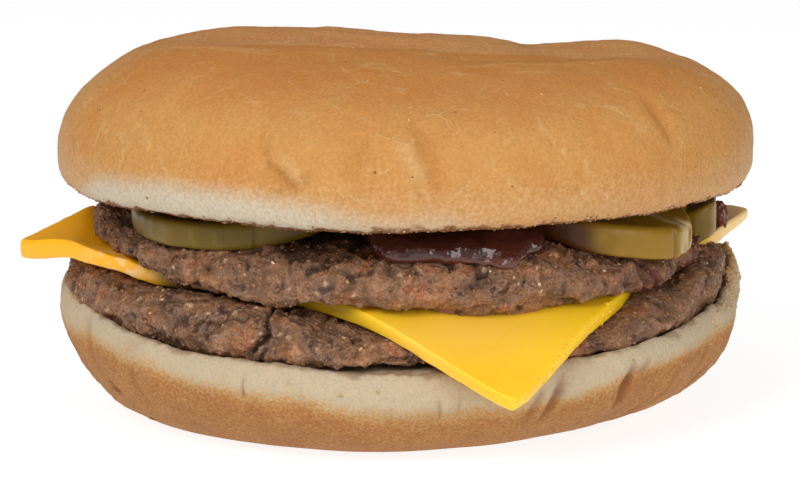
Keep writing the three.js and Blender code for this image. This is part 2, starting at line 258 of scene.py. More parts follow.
def crumb_tree():
    """Scatters small dented lumps over a surface, by its attribute "crumbs"."""
    tree = bpy.data.node_groups.new("crumbs on a surface", "GeometryNodeTree")
    tree.interface.new_socket("Geometry", in_out="OUTPUT", socket_type="NodeSocketGeometry")
    tree.interface.new_socket("Geometry", in_out="INPUT", socket_type="NodeSocketGeometry")
    for size in ("per square metre", "smallest", "largest", "flatness"):
        tree.interface.new_socket(size, in_out="INPUT", socket_type="NodeSocketFloat")
    tree.interface.new_socket("seed", in_out="INPUT", socket_type="NodeSocketInt")
    tree.interface.new_socket("material", in_out="INPUT", socket_type="NodeSocketMaterial")
    given = add(tree, "NodeGroupInput", {}, {}).outputs
    mask = add(tree, "GeometryNodeInputNamedAttribute", {"data_type": "FLOAT"}, {"Name": "crumbs"})
    density = add(tree, "ShaderNodeMath", {"operation": "MULTIPLY"},
                  {0: mask.outputs[0], 1: given["per square metre"]})
    points = add(tree, "GeometryNodeDistributePointsOnFaces", {},
                 {"Mesh": given["Geometry"], "Density": density.outputs[0], "Seed": given["seed"]})
    ball = add(tree, "GeometryNodeMeshIcoSphere", {}, {"Radius": 1.0, "Subdivisions": 1})
    dents = add(tree, "ShaderNodeTexNoise", {}, {"Scale": 0.9})
    shift = add(tree, "ShaderNodeVectorMath", {"operation": "MULTIPLY_ADD"},
                {0: dents.outputs["Color"], 1: (1.6, 1.6, 1.6), 2: (-0.8, -0.8, -0.8)})
    lump = add(tree, "GeometryNodeSetPosition", {},
               {"Geometry": ball.outputs["Mesh"], "Offset": shift.outputs[0]})
    chance = add(tree, "FunctionNodeRandomValue", {"data_type": "FLOAT"}, {8: given["seed"]})
    share = add(tree, "ShaderNodeMath", {"operation": "POWER"}, {0: chance.outputs[1], 1: 2.5})
    size = add(tree, "ShaderNodeMapRange", {},
               {"Value": share.outputs[0], "To Min": given["smallest"], "To Max": given["largest"]})
    shape = add(tree, "FunctionNodeRandomValue", {"data_type": "FLOAT_VECTOR"},
                {0: (0.6, 0.6, 0.6), 1: (1.4, 1.4, 1.4), 8: given["seed"]})
    squashed = add(tree, "ShaderNodeCombineXYZ", {}, {0: 1.0, 1: 1.0, 2: given["flatness"]})
    formed = add(tree, "ShaderNodeVectorMath", {"operation": "MULTIPLY"},
                 {0: shape.outputs[0], 1: squashed.outputs[0]})
    scale = add(tree, "ShaderNodeVectorMath", {"operation": "SCALE"},
                {0: formed.outputs[0], 3: size.outputs[0]})
    turn = add(tree, "FunctionNodeRandomValue", {"data_type": "FLOAT_VECTOR"},
               {0: (-0.4, -0.4, 0.0), 1: (0.4, 0.4, 6.28), 8: given["seed"]})
    turned = add(tree, "FunctionNodeEulerToRotation", {}, {0: turn.outputs[0]})
    rotation = add(tree, "FunctionNodeRotateRotation", {"rotation_space": "LOCAL"},
                   {0: points.outputs["Rotation"], 1: turned.outputs[0]})
    placed = add(tree, "GeometryNodeInstanceOnPoints", {},
                 {"Points": points.outputs["Points"], "Instance": lump.outputs["Geometry"],
                  "Rotation": rotation.outputs[0], "Scale": scale.outputs[0]})
    real = add(tree, "GeometryNodeRealizeInstances", {}, {"Geometry": placed.outputs["Instances"]})
    shaded = add(tree, "GeometryNodeSetShadeSmooth", {}, {"Geometry": real.outputs["Geometry"]})
    painted = add(tree, "GeometryNodeSetMaterial", {},
                  {"Geometry": shaded.outputs["Geometry"], "Material": given["material"]})
    add(tree, "NodeGroupOutput", {}, {0: painted.outputs["Geometry"]})
    return tree


CRUMBS = crumb_tree()


def crumbs_on(source, name, mask, material, per_square_mm, smallest, largest, flatness, seed):
    """Crumbs over a piece, where its mask says, as a plain mesh of their own, with half widths in mm."""
    piece = bpy.data.objects.new(name, source.data.copy())
    bpy.context.scene.collection.objects.link(piece)
    piece.data.attributes.new("crumbs", "FLOAT", "POINT").data.foreach_set("value", flat_list(mask))
    scatter = piece.modifiers.new("crumbs", "NODES")
    scatter.node_group = CRUMBS
    given = {"per square metre": per_square_mm / MM ** 2, "smallest": smallest * MM,
             "largest": largest * MM, "flatness": flatness, "seed": seed, "material": material}
    for socket in CRUMBS.interface.items_tree:
        if socket.name in given:
            scatter[socket.identifier] = given[socket.name]
    ready = bpy.context.evaluated_depsgraph_get()
    mesh = bpy.data.meshes.new_from_object(piece.evaluated_get(ready), depsgraph=ready)
    piece.modifiers.clear()
    piece.data = mesh
    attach(piece, "root")


def crumb_material(name, colours, size, roughness):
    """Crumbs of one kind, whose colour varies from one to the next."""
    material, tree, shader, place = new_material(name)
    noise = add(tree, "ShaderNodeTexNoise", {}, {"Vector": place, "Scale": per_mm(size), "Detail": 2.0})
    spread = add(tree, "ShaderNodeMapRange", {},
                 {"Value": noise.outputs["Fac"], "From Min": 0.35, "From Max": 0.65})
    paint = add(tree, "ShaderNodeValToRGB", {}, {"Fac": spread.outputs[0]})
    paint.color_ramp.elements[0].color = linear(colours[0])
    paint.color_ramp.elements[1].color = linear(colours[-1])
    for step, colour in enumerate(colours[1:-1], 1):
        paint.color_ramp.elements.new(step / (len(colours) - 1)).color = linear(colour)
    tree.links.new(paint.outputs["Color"], shader.inputs["Base Color"])
    shader.inputs["Roughness"].default_value = roughness
    shader.inputs["Specular IOR Level"].default_value = 0.3
    return material


BUN_RADIUS = 50
HEEL = {"foot": 36.4, "radius": 49.2, "top": 13.0, "boxy": 1.68}
# Its rim's height at the front, and how much higher it is at its ends and at the back.
HEEL_RIM = {"front": 13.3, "left": 4.4, "right_front": 4.0, "right": 5.0, "torn": 1.7, "rear": 1.2}
# Where its foot is tucked in or stands out, and where its side is pressed in.
HEEL_FOOT = [(-48, 38, -6.9), (-118, 20, -0.9), (-160, 22, 1.3)]
HEEL_PRESSED = [(-74, 22, 2.5), (-8, 45, 1.5)]
# Wrinkles and cracks in its crust: points in mm round from the front and mm up, with width and depth.
HEEL_CREASES = [
    ([(22.6, 12.4), (21.8, 9.3), (20.5, 5.0)], 0.75, 0.75),
    ([(19.6, 10.6), (18.6, 8.0), (17.6, 5.2)], 0.7, 0.45),
    ([(34.6, 12.6), (33.6, 10.8), (32.8, 8.8), (33.6, 5.6)], 0.8, 1.0),
    ([(37.6, 13.2), (36.4, 11.8), (34.8, 11.0)], 0.6, 0.5),
    ([(52.4, 12.0), (53.6, 9.6), (53.4, 7.4)], 0.6, 0.5),
    ([(49.6, 12.6), (50.0, 9.8)], 0.5, 0.35),
    ([(-21.8, 13.0), (-22.2, 11.0), (-21.9, 9.0)], 0.22, 0.45),
    ([(-15.6, 12.8), (-15.8, 11.4)], 0.2, 0.35),
    ([(-41.4, 11.6), (-42.2, 8.6), (-41.6, 5.0)], 0.6, 0.4),
    ([(4.8, 9.6), (5.0, 6.6)], 0.35, 0.3),
]


def cup(x):
    """How far the layers turn up at the far left and right, where the wrapper pressed them."""
    return 1.7 * np.minimum(1.25, (np.abs(x) / 44) ** 6)


def heel_top(x):
    """The height of its upper face, inside the rim."""
    return HEEL["top"] + 0.8 * cup(x)


def heel_rim(x, y):
    """The height of its rim, which curls up at both ends, is torn at the right and uneven in front."""
    right = mix(HEEL_RIM["right_front"], HEEL_RIM["right"], smooth(-16, -6, y))
    ends = np.where(x < 0, HEEL_RIM["left"], right) * (np.abs(x) / 48) ** 3
    torn_up = HEEL_RIM["torn"] * smooth(42.5, 47.5, x) * smooth(-16, 2, y)
    uneven = (0.6 * bell(x + 18, 7) - 0.4 * bell(x - 2, 12)) * (y < 0)
    return HEEL_RIM["front"] + ends + torn_up + uneven + HEEL_RIM["rear"] * smooth(0, 45, y)


def heel_grid():
    """The bottom bun as rings, from its foot over its side and its torn rim to the face under the patty."""
    bearing, c, s = directions(560)
    pressed_in = swellings(bearing, HEEL_PRESSED)
    wander = 0.5 * lumps(c * 2.2 + 7, s * 2.2, 3.1) + 0.35 * lumps(c * 6, s * 6, 9.4)
    foot = HEEL["foot"] + swellings(bearing, HEEL_FOOT) + wander
    outer = HEEL["radius"] + wander - pressed_in
    ragged = 0.28 * lumps(c * 24, s * 24, 1.5) + 0.3 * lumps(c * 60, s * 60, 2.5)
    ragged = ragged * (0.6 + 3.8 * smooth(41, 48, c * outer)) + 0.5 * bell(apart(bearing, -12), 5)
    rim = heel_rim(c * outer, s * outer) + ragged
    widest = heel_rim(c * outer, s * outer) - 3.2
    power = 2 / HEEL["boxy"]
    rings = [(foot * share, foot * 0) for share in (0, 0.4, 0.7, 0.9, 0.97)]
    for turn in np.radians(np.linspace(90, 0, 70)):
        rings.append((mix(foot, outer, np.cos(turn) ** power), widest * (1 - np.sin(turn) ** power)))
    for turn in np.radians(np.linspace(5, 90, 14)):
        rings.append((mix(foot, outer, 0.9 + 0.1 * np.cos(turn)), mix(widest, rim, np.sin(turn))))
    inner = rings[-1][0]
    for share in np.linspace(0, 1, 14)[1:]:
        radius = mix(inner, 44.0, share)
        rings.append((radius, mix(rim, heel_top(c * radius), smooth(0, 0.85, share))))
    rings += [(44.0 * share + c * 0, heel_top(c * 44.0 * share)) for share in (0.9, 0.6, 0.3, 0)]
    return np.stack([np.stack([c * r, s * r, z + c * 0], axis=-1) for r, z in rings])


def crust_places(grid):
    """For a bun's side: mm round from the front, and mm up."""
    bearing = np.degrees(np.arctan2(grid[..., 1], grid[..., 0]))
    return np.radians(apart(bearing, -90)) * BUN_RADIUS, grid[..., 2]


def creased(across, up, creases):
    """The depth of a list of creases at each point. Each is narrower and shallower towards its ends."""
    total = 0.0
    for path, width, depth in creases:
        distance, along = from_line(across, up, path)
        full = np.sqrt(np.sin(np.pi * along))
        total = total + depth * (0.25 + 0.75 * full) * bell(distance, width * (0.5 + 0.5 * full))
    return total


heel = heel_grid()
round_from_front, up = crust_places(heel)
cut_face = smooth(-0.6, 0.6, outward(heel)[..., 2] - 0.25) * (up > 10)
crust = 1 - cut_face
pleats = np.abs(lumps(round_from_front / 7, up / 26, 4.4))
pleats = pleats + 0.5 * np.abs(lumps(round_from_front / 3, up / 12, 8.8))
pleats = 0.5 * (1 - smooth(0.0, 0.22, pleats)) * smooth(0.0, 0.5, field(heel, 16, 3.0))
heel_crease = creased(round_from_front, up, HEEL_CREASES) + pleats
heel_relief = 0.22 * field(heel, 7, 1.0, 2) + 0.14 * field(heel, 1.6, 2.0, 2) - heel_crease
torn_face = (0.08 + 0.2 * smooth(40, 46, heel[..., 0])) * field(heel, 1.8, 5.0, 2) * cut_face
lifted = heel_relief * crust * smooth(0.2, 3.0, up) + torn_face
heel = raised(heel, lifted)
# How high its browned crust reaches, in mm: highest at both ends and in a swelling at the left front.
browned_to = 8.5 + 5.4 * (heel[..., 0] / 48) ** 2 + 1.2 * smooth(20, 48, heel[..., 0])
browned_to = browned_to - 0.9 * bell(heel[..., 0] - 5, 12) + 0.8 * field(heel, 11, 6.0, 3)
browned_to = browned_to + 1.3 * smooth(-62, -48, round_from_front) * (1 - smooth(-18, -4, round_from_front))
crisp = smooth(14, 30, heel[..., 0])
browned = (1 - smooth(browned_to - mix(2.8, 2.0, crisp), browned_to + mix(1.9, 1.1, crisp), up)) * crust

# Wheat bread, baked. The crust is a dry matt tan skin, mottled in dots where it meets the pale side.
BREAD = {"cream": "#bba88c", "straw": "#b88f58", "tan": "#a8723f", "deep": "#905a31", "fold": "#7d4a27",
         "soaked": "#7d5c3a"}
heel_bread, tree, shader, place = new_material("wheat bread baked")
brown_mask = add(tree, "ShaderNodeAttribute", {"attribute_name": "browned"}, {}).outputs["Fac"]
crease_mask = add(tree, "ShaderNodeAttribute", {"attribute_name": "crease"}, {}).outputs["Fac"]
soaked_mask = add(tree, "ShaderNodeAttribute", {"attribute_name": "soaked"}, {}).outputs["Fac"]
dots = add(tree, "ShaderNodeTexNoise", {},
           {"Vector": place, "Scale": per_mm(0.4), "Detail": 1.5, "Roughness": 0.7})
clouds = add(tree, "ShaderNodeTexNoise", {},
             {"Vector": place, "Scale": per_mm(5), "Detail": 4.0, "Roughness": 0.6})
dotted = add(tree, "ShaderNodeMath", {"operation": "MULTIPLY_ADD"},
             {0: dots.outputs["Fac"], 1: 1.9, 2: -0.95})
brown = add(tree, "ShaderNodeMath", {"operation": "ADD"}, {0: brown_mask, 1: dotted.outputs[0]})
browner = add(tree, "ShaderNodeMapRange", {},
              {"Value": brown.outputs[0], "From Min": 0.2, "From Max": 1.36})
bake = add(tree, "ShaderNodeValToRGB", {}, {"Fac": browner.outputs[0]})
ramp = bake.color_ramp
ramp.elements[0].color = linear(BREAD["cream"])
ramp.elements[1].color = linear(BREAD["deep"])
for at, colour in ((0.36, "straw"), (0.68, "tan")):
    ramp.elements.new(at).color = linear(BREAD[colour])
deeper = add(tree, "ShaderNodeMapRange", {},
             {"Value": clouds.outputs["Fac"], "From Min": 0.45, "From Max": 0.75, "To Max": 0.5})
deep = add(tree, "ShaderNodeMath", {"operation": "MULTIPLY"}, {0: deeper.outputs[0], 1: brown_mask})
colour = bake.outputs["Color"]
# The creases and pleats of the crust are painted darker here, as shade falling in them.
for share, paint in ((deep.outputs[0], "deep"), (crease_mask, "fold"), (soaked_mask, "soaked")):
    painted = add(tree, "ShaderNodeMix", {"data_type": "RGBA"},
                  {0: share, 6: colour, 7: linear(BREAD[paint])})
    colour = painted.outputs[2]
grain = add(tree, "ShaderNodeMapRange", {},
            {"Value": dots.outputs["Fac"], "From Min": 0.3, "From Max": 0.7, "To Min": 0.9, "To Max": 1.1})
grained = add(tree, "ShaderNodeVectorMath", {"operation": "SCALE"}, {0: colour, 3: grain.outputs[0]})
tree.links.new(grained.outputs[0], shader.inputs["Base Color"])
fine = add(tree, "ShaderNodeTexNoise", {}, {"Vector": place, "Scale": per_mm(0.5), "Detail": 3.0})
bumps = add(tree, "ShaderNodeBump", {},
            {"Strength": 0.8, "Distance": 0.25 * MM, "Height": fine.outputs["Fac"]})
tree.links.new(bumps.outputs[0], shader.inputs["Normal"])
shader.inputs["Roughness"].default_value = 0.86
shader.inputs["Specular IOR Level"].default_value = 0.3

# Where the cut face turns up under the patty it is painted darker brown: partly juice soaked in, partly
# painted shade under the patty.
lying = outward(heel)[..., 2] + 0.45 * field(heel, 1.6, 12.0, 2)
soaked = 0.5 * cut_face * smooth(0.72, 1.05, lying) * (heel[..., 2] > 12)
torn_toast = 0.6 * cut_face * smooth(43, 46.5, heel[..., 0]) * smooth(-22, -14, heel[..., 1])
browned = np.maximum(browned, torn_toast)
# Painted shade in the creases and pleats of the crust.
heel_fold = np.clip(heel_crease * 1.1, 0, 0.75) * crust
heel_piece = ring_piece("bottom_bun", heel, heel_bread, browned=browned, soaked=soaked, crease=heel_fold)
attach(heel_piece, "root")
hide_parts("heel")

# Crumbs of the toasted cut face, most where the rim is torn on the right, and loose flakes of crust.
toast_crumb = crumb_material("toasted wheat crumb", ["#b08d5e", "#cdb690", "#bfa478", "#94703f"], 0.6, 0.85)
torn = 0.03 + 1.6 * smooth(39, 48, heel[..., 0]) * (heel[..., 1] < 15)
crumbs_on(heel_piece, "heel_crumbs", cut_face * torn, toast_crumb, 1.2, 0.08, 0.4, 0.7, 3)
FLAKES_AT = [(-39.8, -24.6, 6.2), (-37.0, -26.2, 4.3), (-42.6, -17.0, 7.0), (-35.0, -26.8, 3.0)]
flake = sum(bell(np.linalg.norm(heel - np.array(at), axis=-1), 1.6) for at in FLAKES_AT)
flaked_crust = crumb_material("wheat crust flaked", ["#a97c4c", "#8c5c34"], 1.0, 0.85)
crumbs_on(heel_piece, "heel_flakes", flake, flaked_crust, 0.6, 0.35, 0.95, 0.4, 12)


# Lower patty. Coarse minced beef, pressed and griddled, whose rim breaks into lumps at the left front and
# is flattened at the front, where the slice of cheese bends down over it.
PATTY_GAP = 0.35
LOWER = {"centre": -1, "radius": 46.6, "edge": 4.2, "round": 2.3}
SLICE = {"half_diagonal": 57, "thickness": 2.1, "direction": math.radians(-79), "middle": 21.3,
         "slope": math.tan(math.radians(32)), "bend": (37.5, 45.5)}
FORWARD = (math.cos(SLICE["direction"]), math.sin(SLICE["direction"]))
# Cracks between its lumps: points in mm round from the front and mm up, with width and depth.
LOWER_CRACKS = [
    ([(-21.0, 20.5), (-20.2, 18.6), (-19.6, 17.4), (-21.4, 15.8), (-22.6, 14.2)], 0.45, 1.5),
    ([(-26.2, 20.0), (-27.4, 17.6), (-30.6, 16.2)], 0.35, 0.5),
    ([(-34.6, 19.4), (-33.8, 17.4), (-35.6, 15.6)], 0.35, 0.4),
    ([(-43.0, 20.6), (-41.6, 18.2)], 0.4, 0.4),
    ([(-13.4, 19.8), (-13.0, 18.0), (-14.6, 16.8)], 0.35, 0.4),
    ([(38.6, 17.6), (40.6, 15.8)], 0.4, 0.4),
]


def ramp_up(start, end, at):
    """0 up to `start`, then a curve that turns into a straight line of slope 1 at `end`."""
    curve = (np.clip(at, start, end) - start) ** 2 / (2 * (end - start))
    return curve + np.maximum(0, at - end)


def forward_of(x, y):
    """How far a point lies towards the slice's front corner."""
    return x * FORWARD[0] + y * FORWARD[1]


def middle(x, y):
    """The middle of the stack, between the patties, which the slice of cheese lies in."""
    thin = 1.5 * smooth(5, 36, x) * (1 - smooth(36, 45, x))
    return SLICE["middle"] + cup(x) - thin - 2.2 * smooth(26, 43, forward_of(x, y))


def bend_drop(forward):
    """How far the slice has bent down there, in mm."""
    return SLICE["slope"] * ramp_up(*SLICE["bend"], forward)


def bend_slope(forward):
    """How steeply the slice bends down there."""
    start, end = SLICE["bend"]
    return SLICE["slope"] * np.clip((forward - start) / (end - start), 0, 1)


def past_slice(x, y):
    """1 past the slice's front sides, where the two patties close up on each other."""
    left = smooth(39.8, 42.2, -0.568 * x - 0.823 * y) * smooth(-37, -30, x) * (1 - smooth(-17, -9, x))
    right = smooth(36.5, 39.5, 0.829 * x - 0.559 * y) * smooth(27, 32, x) * (1 - smooth(39, 43.5, x))
    return left + right


def lower_bottom(x, y):
    """Its underside lies on the bottom bun."""
    return heel_top(x) + PATTY_GAP


def lower_top(x, y):
    """Its top follows the underside of the slice, and swells up past the slice's sides."""
    forward = forward_of(x, y)
    half = (SLICE["thickness"] / 2 + 0.15) * np.hypot(1, bend_slope(forward))
    return middle(x, y) - bend_drop(forward) - half - PATTY_GAP + 1.3 * past_slice(x, y)


def slab_rings(under, rim, top, roundness):
    """Rings of a slab with a rounded rim: the share of the way in, of the rounding, and of the height."""
    rings = [((i / under) ** 1.4, 0.0, -1.0) for i in range(under, -1, -1)]
    for turn in np.linspace(-np.pi / 2, np.pi / 2, rim + 1)[1:-1]:
        height = math.copysign(abs(math.sin(turn)) ** (2 / roundness), turn)
        rings.append((0.0, math.cos(turn) ** (2 / roundness), height))
    return rings + [((i / top) ** 1.4, 0.0, 1.0) for i in range(top + 1)]


def patty_grid(size, bottom, top, inset, seed):
    """A patty between two faces, with a craggy rim, as a grid of rings."""
    bearing, c, s = directions(760)
    rows = []
    for inward, out, lift in slab_rings(8, 58, 34, size["round"]):
        crag = 0.9 * lumps(c * 7, s * 7, lift * 1.2 + seed)
        crag = crag + 0.6 * lumps(c * 12, s * 12, lift * 2 + seed + 5)
        radius = (size["radius"] - inset(bearing, c) - size["edge"]) * (1 - inward)
        radius = radius + (size["edge"] + crag * out) * out
        x, y = size["centre"] + c * radius, s * radius
        z = mix(bottom(x, y), top(x, y), (lift + 1) / 2)
        rows.append(np.stack([x, y, z], axis=-1))
    return np.stack(rows)


def mince(grid, coarse, seed):
    """The relief of minced meat over a grid, in mm, with masks for its cracks and pits, which are painted
    dark as shade, the tone of its grains, and how far each stands out, which sets painted light on raised
    grains and painted shade in hollows."""
    bend = np.stack([field(grid, 2.6, seed + n, 2) for n in (1.0, 2.0, 3.0)], axis=-1)
    warped = grid + 0.9 * bend
    patchy = smooth(-0.15, 0.45, field(grid, 7, seed + 7))
    cracks = bell(field(warped, 4.2, seed + 3), 0.07) * patchy
    pits = smooth(0.5, 0.75, field(warped, 1.7, seed + 11))
    height = coarse * (0.45 * field(grid, 9, seed, 2) - 0.35 * cracks) - 0.4 * pits
    height = height + 0.36 * field(warped, 1.6, seed + 5, 2) + 0.18 * field(warped, 0.6, seed + 17)
    tone = 0.5 + 0.5 * field(warped, 2.6, seed + 23, 2)
    proud = np.clip(0.5 + 0.9 * (height - field(grid, 9, seed, 2) * 0.45 * coarse), 0, 1)
    return height, np.clip(0.8 * cracks + 0.9 * pits, 0, 1), np.clip(tone, 0, 1), proud


def right_swell(grid):
    """Lifts the upper part of the lower patty's right end, which fills the gap below the slice."""
    upper_part = smooth(15.0, 19.5, grid[..., 2]) * (1 - smooth(20.8, 22.2, grid[..., 2]))
    lifted = smooth(35, 43.5, grid[..., 0]) * upper_part
    return grid + np.stack([0 * lifted, 0 * lifted, 1.9 * lifted], axis=-1)


def lower_inset(bearing, c):
    """It is drawn in under the hanging corner of the cheese."""
    return 2.2 * bell(apart(bearing, -77), 20) - 0.2 * smooth(0.5, 1, -c)


lower = right_swell(patty_grid(LOWER, lower_bottom, lower_top, lower_inset, 1))
round_from_front, up = crust_places(lower)
broken = 1 - 0.75 * smooth(2, 26, round_from_front) * (1 - smooth(60, 80, round_from_front))
relief, seams, tone, proud = mince(lower, broken, 3.0)
cracks = creased(round_from_front, up, LOWER_CRACKS)
bulges = 0.6 * field(lower, 7, 2.6) * broken
lower = raised(lower, relief * (0.5 + 0.5 * broken) + bulges + 0.1 - cracks)

# Griddled beef mince. Mauve-brown grains with browned and reddish ones among them, pits and cracks painted
# dark as shade, raised grains painted lighter and hollows darker as light and shade, pale flecks of fat, and
# a thin film of grease that glints.
BEEF = {"dark": "#4e3427", "mauve": "#8a6750", "brown": "#7e5637", "tan": "#a17049", "red": "#8a4a30",
        "fat": "#d2ae88", "crack_shade_colour": "#26150e", "sauce": "#702a20", "film": "#150906"}


def beef_material(name, warmth):
    """Griddled mince. The warmth is how much of it is browned to tan in broad patches."""
    material, tree, shader, place = new_material(name)
    masks = {name: add(tree, "ShaderNodeAttribute", {"attribute_name": name}, {}).outputs["Fac"]
             for name in ("tone", "proud", "seams", "stain", "film")}
    patches = add(tree, "ShaderNodeTexNoise", {},
                  {"Vector": place, "Scale": per_mm(2.4), "Detail": 4.0, "Roughness": 0.7,
                   "Distortion": 0.9})
    crumb = add(tree, "ShaderNodeTexNoise", {},
                {"Vector": place, "Scale": per_mm(0.5), "Detail": 3.0, "Roughness": 0.75})
    blend = add(tree, "ShaderNodeMix", {"data_type": "FLOAT"},
                {0: 0.7, 2: masks["tone"], 3: patches.outputs["Fac"]})
    spread = add(tree, "ShaderNodeMapRange", {},
                 {"Value": blend.outputs[0], "From Min": 0.34, "From Max": 0.68})
    grains = add(tree, "ShaderNodeValToRGB", {}, {"Fac": spread.outputs[0]})
    ramp = grains.color_ramp
    ramp.elements[0].color = linear(BEEF["dark"])
    ramp.elements[1].color = linear(BEEF["tan"])
    for at, colour in ((0.22, "mauve"), (0.42, "brown"), (0.6, "mauve"), (0.76, "tan"), (0.88, "red")):
        ramp.elements.new(at).color = linear(BEEF[colour])
    warm = add(tree, "ShaderNodeTexNoise", {}, {"Vector": place, "Scale": per_mm(5.5), "Detail": 3.0})
    glow = add(tree, "ShaderNodeMapRange", {},
               {"Value": warm.outputs["Fac"], "From Min": 0.48, "From Max": 0.68, "To Max": warmth})
    shaken = add(tree, "ShaderNodeVectorMath", {"operation": "MULTIPLY_ADD"},
                 {0: crumb.outputs["Color"], 1: (MM, MM, MM), 2: place})
    flecks = add(tree, "ShaderNodeTexVoronoi", {"feature": "F1"},
                 {"Vector": shaken.outputs[0], "Scale": per_mm(1.2)})
    chosen = add(tree, "ShaderNodeSeparateColor", {}, {0: flecks.outputs["Color"]})
    few = add(tree, "ShaderNodeMapRange", {},
              {"Value": chosen.outputs[0], "From Min": 0.8, "From Max": 0.9})
    spot = add(tree, "ShaderNodeMapRange", {},
               {"Value": flecks.outputs["Distance"], "From Min": 0.42, "From Max": 0.2, "To Max": 0.6})
    fat = add(tree, "ShaderNodeMath", {"operation": "MULTIPLY"}, {0: few.outputs[0], 1: spot.outputs[0]})
    colour = grains.outputs["Color"]
    for share, paint in ((glow.outputs[0], "tan"), (fat.outputs[0], "fat"), (masks["seams"], "crack_shade_colour"),
                         (masks["stain"], "sauce"), (masks["film"], "film")):
        painted = add(tree, "ShaderNodeMix", {"data_type": "RGBA"},
                      {0: share, 6: colour, 7: linear(BEEF[paint])})
        colour = painted.outputs[2]
    light = add(tree, "ShaderNodeMapRange", {},
                {"Value": crumb.outputs["Fac"], "From Min": 0.3, "From Max": 0.7,
                 "To Min": 0.62, "To Max": 1.4})
    # Raised grains are painted lighter and hollows darker, as light and shade on the relief.
    worn = add(tree, "ShaderNodeMapRange", {},
               {"Value": masks["proud"], "From Min": 0.2, "From Max": 0.85, "To Min": 0.7, "To Max": 1.28})
    lighter = add(tree, "ShaderNodeMath", {"operation": "MULTIPLY"},
                  {0: light.outputs[0], 1: worn.outputs[0]})
    shaded = add(tree, "ShaderNodeVectorMath", {"operation": "SCALE"}, {0: colour, 3: lighter.outputs[0]})
    tree.links.new(shaded.outputs[0], shader.inputs["Base Color"])
    wet = add(tree, "ShaderNodeMapRange", {},
              {"Value": crumb.outputs["Fac"], "From Min": 0.4, "From Max": 0.65,
               "To Min": 0.62, "To Max": 0.34})
    tree.links.new(wet.outputs[0], shader.inputs["Roughness"])
    shader.inputs["Specular IOR Level"].default_value = 0.4
    rise = add(tree, "ShaderNodeMath", {"operation": "MULTIPLY_ADD"},
               {0: patches.outputs["Fac"], 1: 1.5, 2: crumb.outputs["Fac"]})
    bumps = add(tree, "ShaderNodeBump", {},
                {"Strength": 1.0, "Distance": 0.4 * MM, "Height": rise.outputs[0]})
    tree.links.new(bumps.outputs[0], shader.inputs["Normal"])
    return material


# Its cracks and pits are painted dark, as shade in them.
seams = np.clip(seams + cracks, 0, 1) * (0.4 + 0.4 * broken)
lower_beef = beef_material("beef mince griddled", 0.4)
lower_piece = ring_piece("lower_patty", lower, lower_beef, tone=tone, proud=proud, seams=seams, stain=0.0)
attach(lower_piece, "root")
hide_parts("patty_lower")

# Loose grains of the same mince and curds of fat, browned on the griddle.
beef_grain = crumb_material("beef grain browned", ["#5a3a2a", "#8f6a56", "#7a5038", "#a5714a"], 0.7, 0.5)
fat_curd = crumb_material("beef fat browned", ["#c9a27c", "#b98358", "#dcc3a6"], 0.8, 0.35)
grainy = (0.3 + 0.7 * broken) * smooth(13.4, 14.2, lower[..., 2])
crumbs_on(lower_piece, "lower_patty_grains", grainy, beef_grain, 0.8, 0.1, 0.42, 0.8, 5)
crumbs_on(lower_piece, "lower_patty_fat", grainy, fat_curd, 0.05, 0.1, 0.34, 0.7, 6)


# Cheese. One square slice of processed cheese, laid cornerwise. Its front corner hangs down over the edge
# of the lower patty, and its left and right corners stick out between the patties.
SLICE_SHIFT = {"forward": 1.4, "across": -0.8, "skew": 0.075}
SLICE_EDGE = 0.55
SLICE_RINGS = {"under": 26, "rim": 12, "top": 44}
# Where the patties squeeze it in: mm to the right of its middle, a width in mm, and the share it loses.
SLICE_SQUEEZES = [(-31, 10, 0.09), (-20, 6, 0.08), (-13, 7, 0.02), (13, 7, 0.02), (35, 12, 0.25)]
# How far its corners are blunted, in mm.
SLICE_BLUNT = {"left": 0.7, "right": 1.1, "front": 0.1, "rear": 0.8, "softness": 1.2}


def right_curl(across):
    """How far its right corner turns up."""
    return 1.5 * smooth(41, 50, across)


def left_curl(x, y):
    """The slice rises behind its left corner, along the rounded end of the upper patty, and a little in
    front of the corner. Its tip sinks."""
    behind = 2.9 * smooth(-11, 8, y) * smooth(40.5, 45.5, -x)
    in_front = 0.75 * smooth(33, 40, -x) * (1 - smooth(-17, -12, y))
    tip = 0.2 * smooth(45, 52, -x)
    return behind + in_front - tip


def bent_slice(to_front, to_right, lift):
    """Carries a point of the flat slice to its place: it is bent, drawn in where the patties squeeze it,
    and crumpled a little at its side corners."""
    squeezed = 1 - sum(loss * bell(to_right - at, width) for at, width, loss in SLICE_SQUEEZES)
    reach = to_front * squeezed + SLICE_SHIFT["forward"]
    start, end = SLICE["bend"]
    shortening = 1 - 1 / math.hypot(1, SLICE["slope"])
    forward = reach - shortening * ramp_up(start, end + 1, reach)
    crumpled = np.where(to_right > 0, 0.075, 0.03) * (to_right / SLICE["half_diagonal"]) ** 2
    across = SLICE_SHIFT["across"] + SLICE_SHIFT["skew"] * forward + to_right * (1 - crumpled)
    x = forward * FORWARD[0] - across * FORWARD[1]
    y = forward * FORWARD[1] + across * FORWARD[0]
    slope = bend_slope(forward)
    pressed_thin = 1 - 0.4 * smooth(42, 53, across) + 0.25 * smooth(44, 52, -across)
    half = lift * pressed_thin * SLICE["thickness"] / 2 / np.hypot(1, slope)
    height = middle(x, y) + right_curl(across) + left_curl(x, y) - bend_drop(forward) + half
    return np.stack([x + half * slope * FORWARD[0], y + half * slope * FORWARD[1], height], axis=-1)


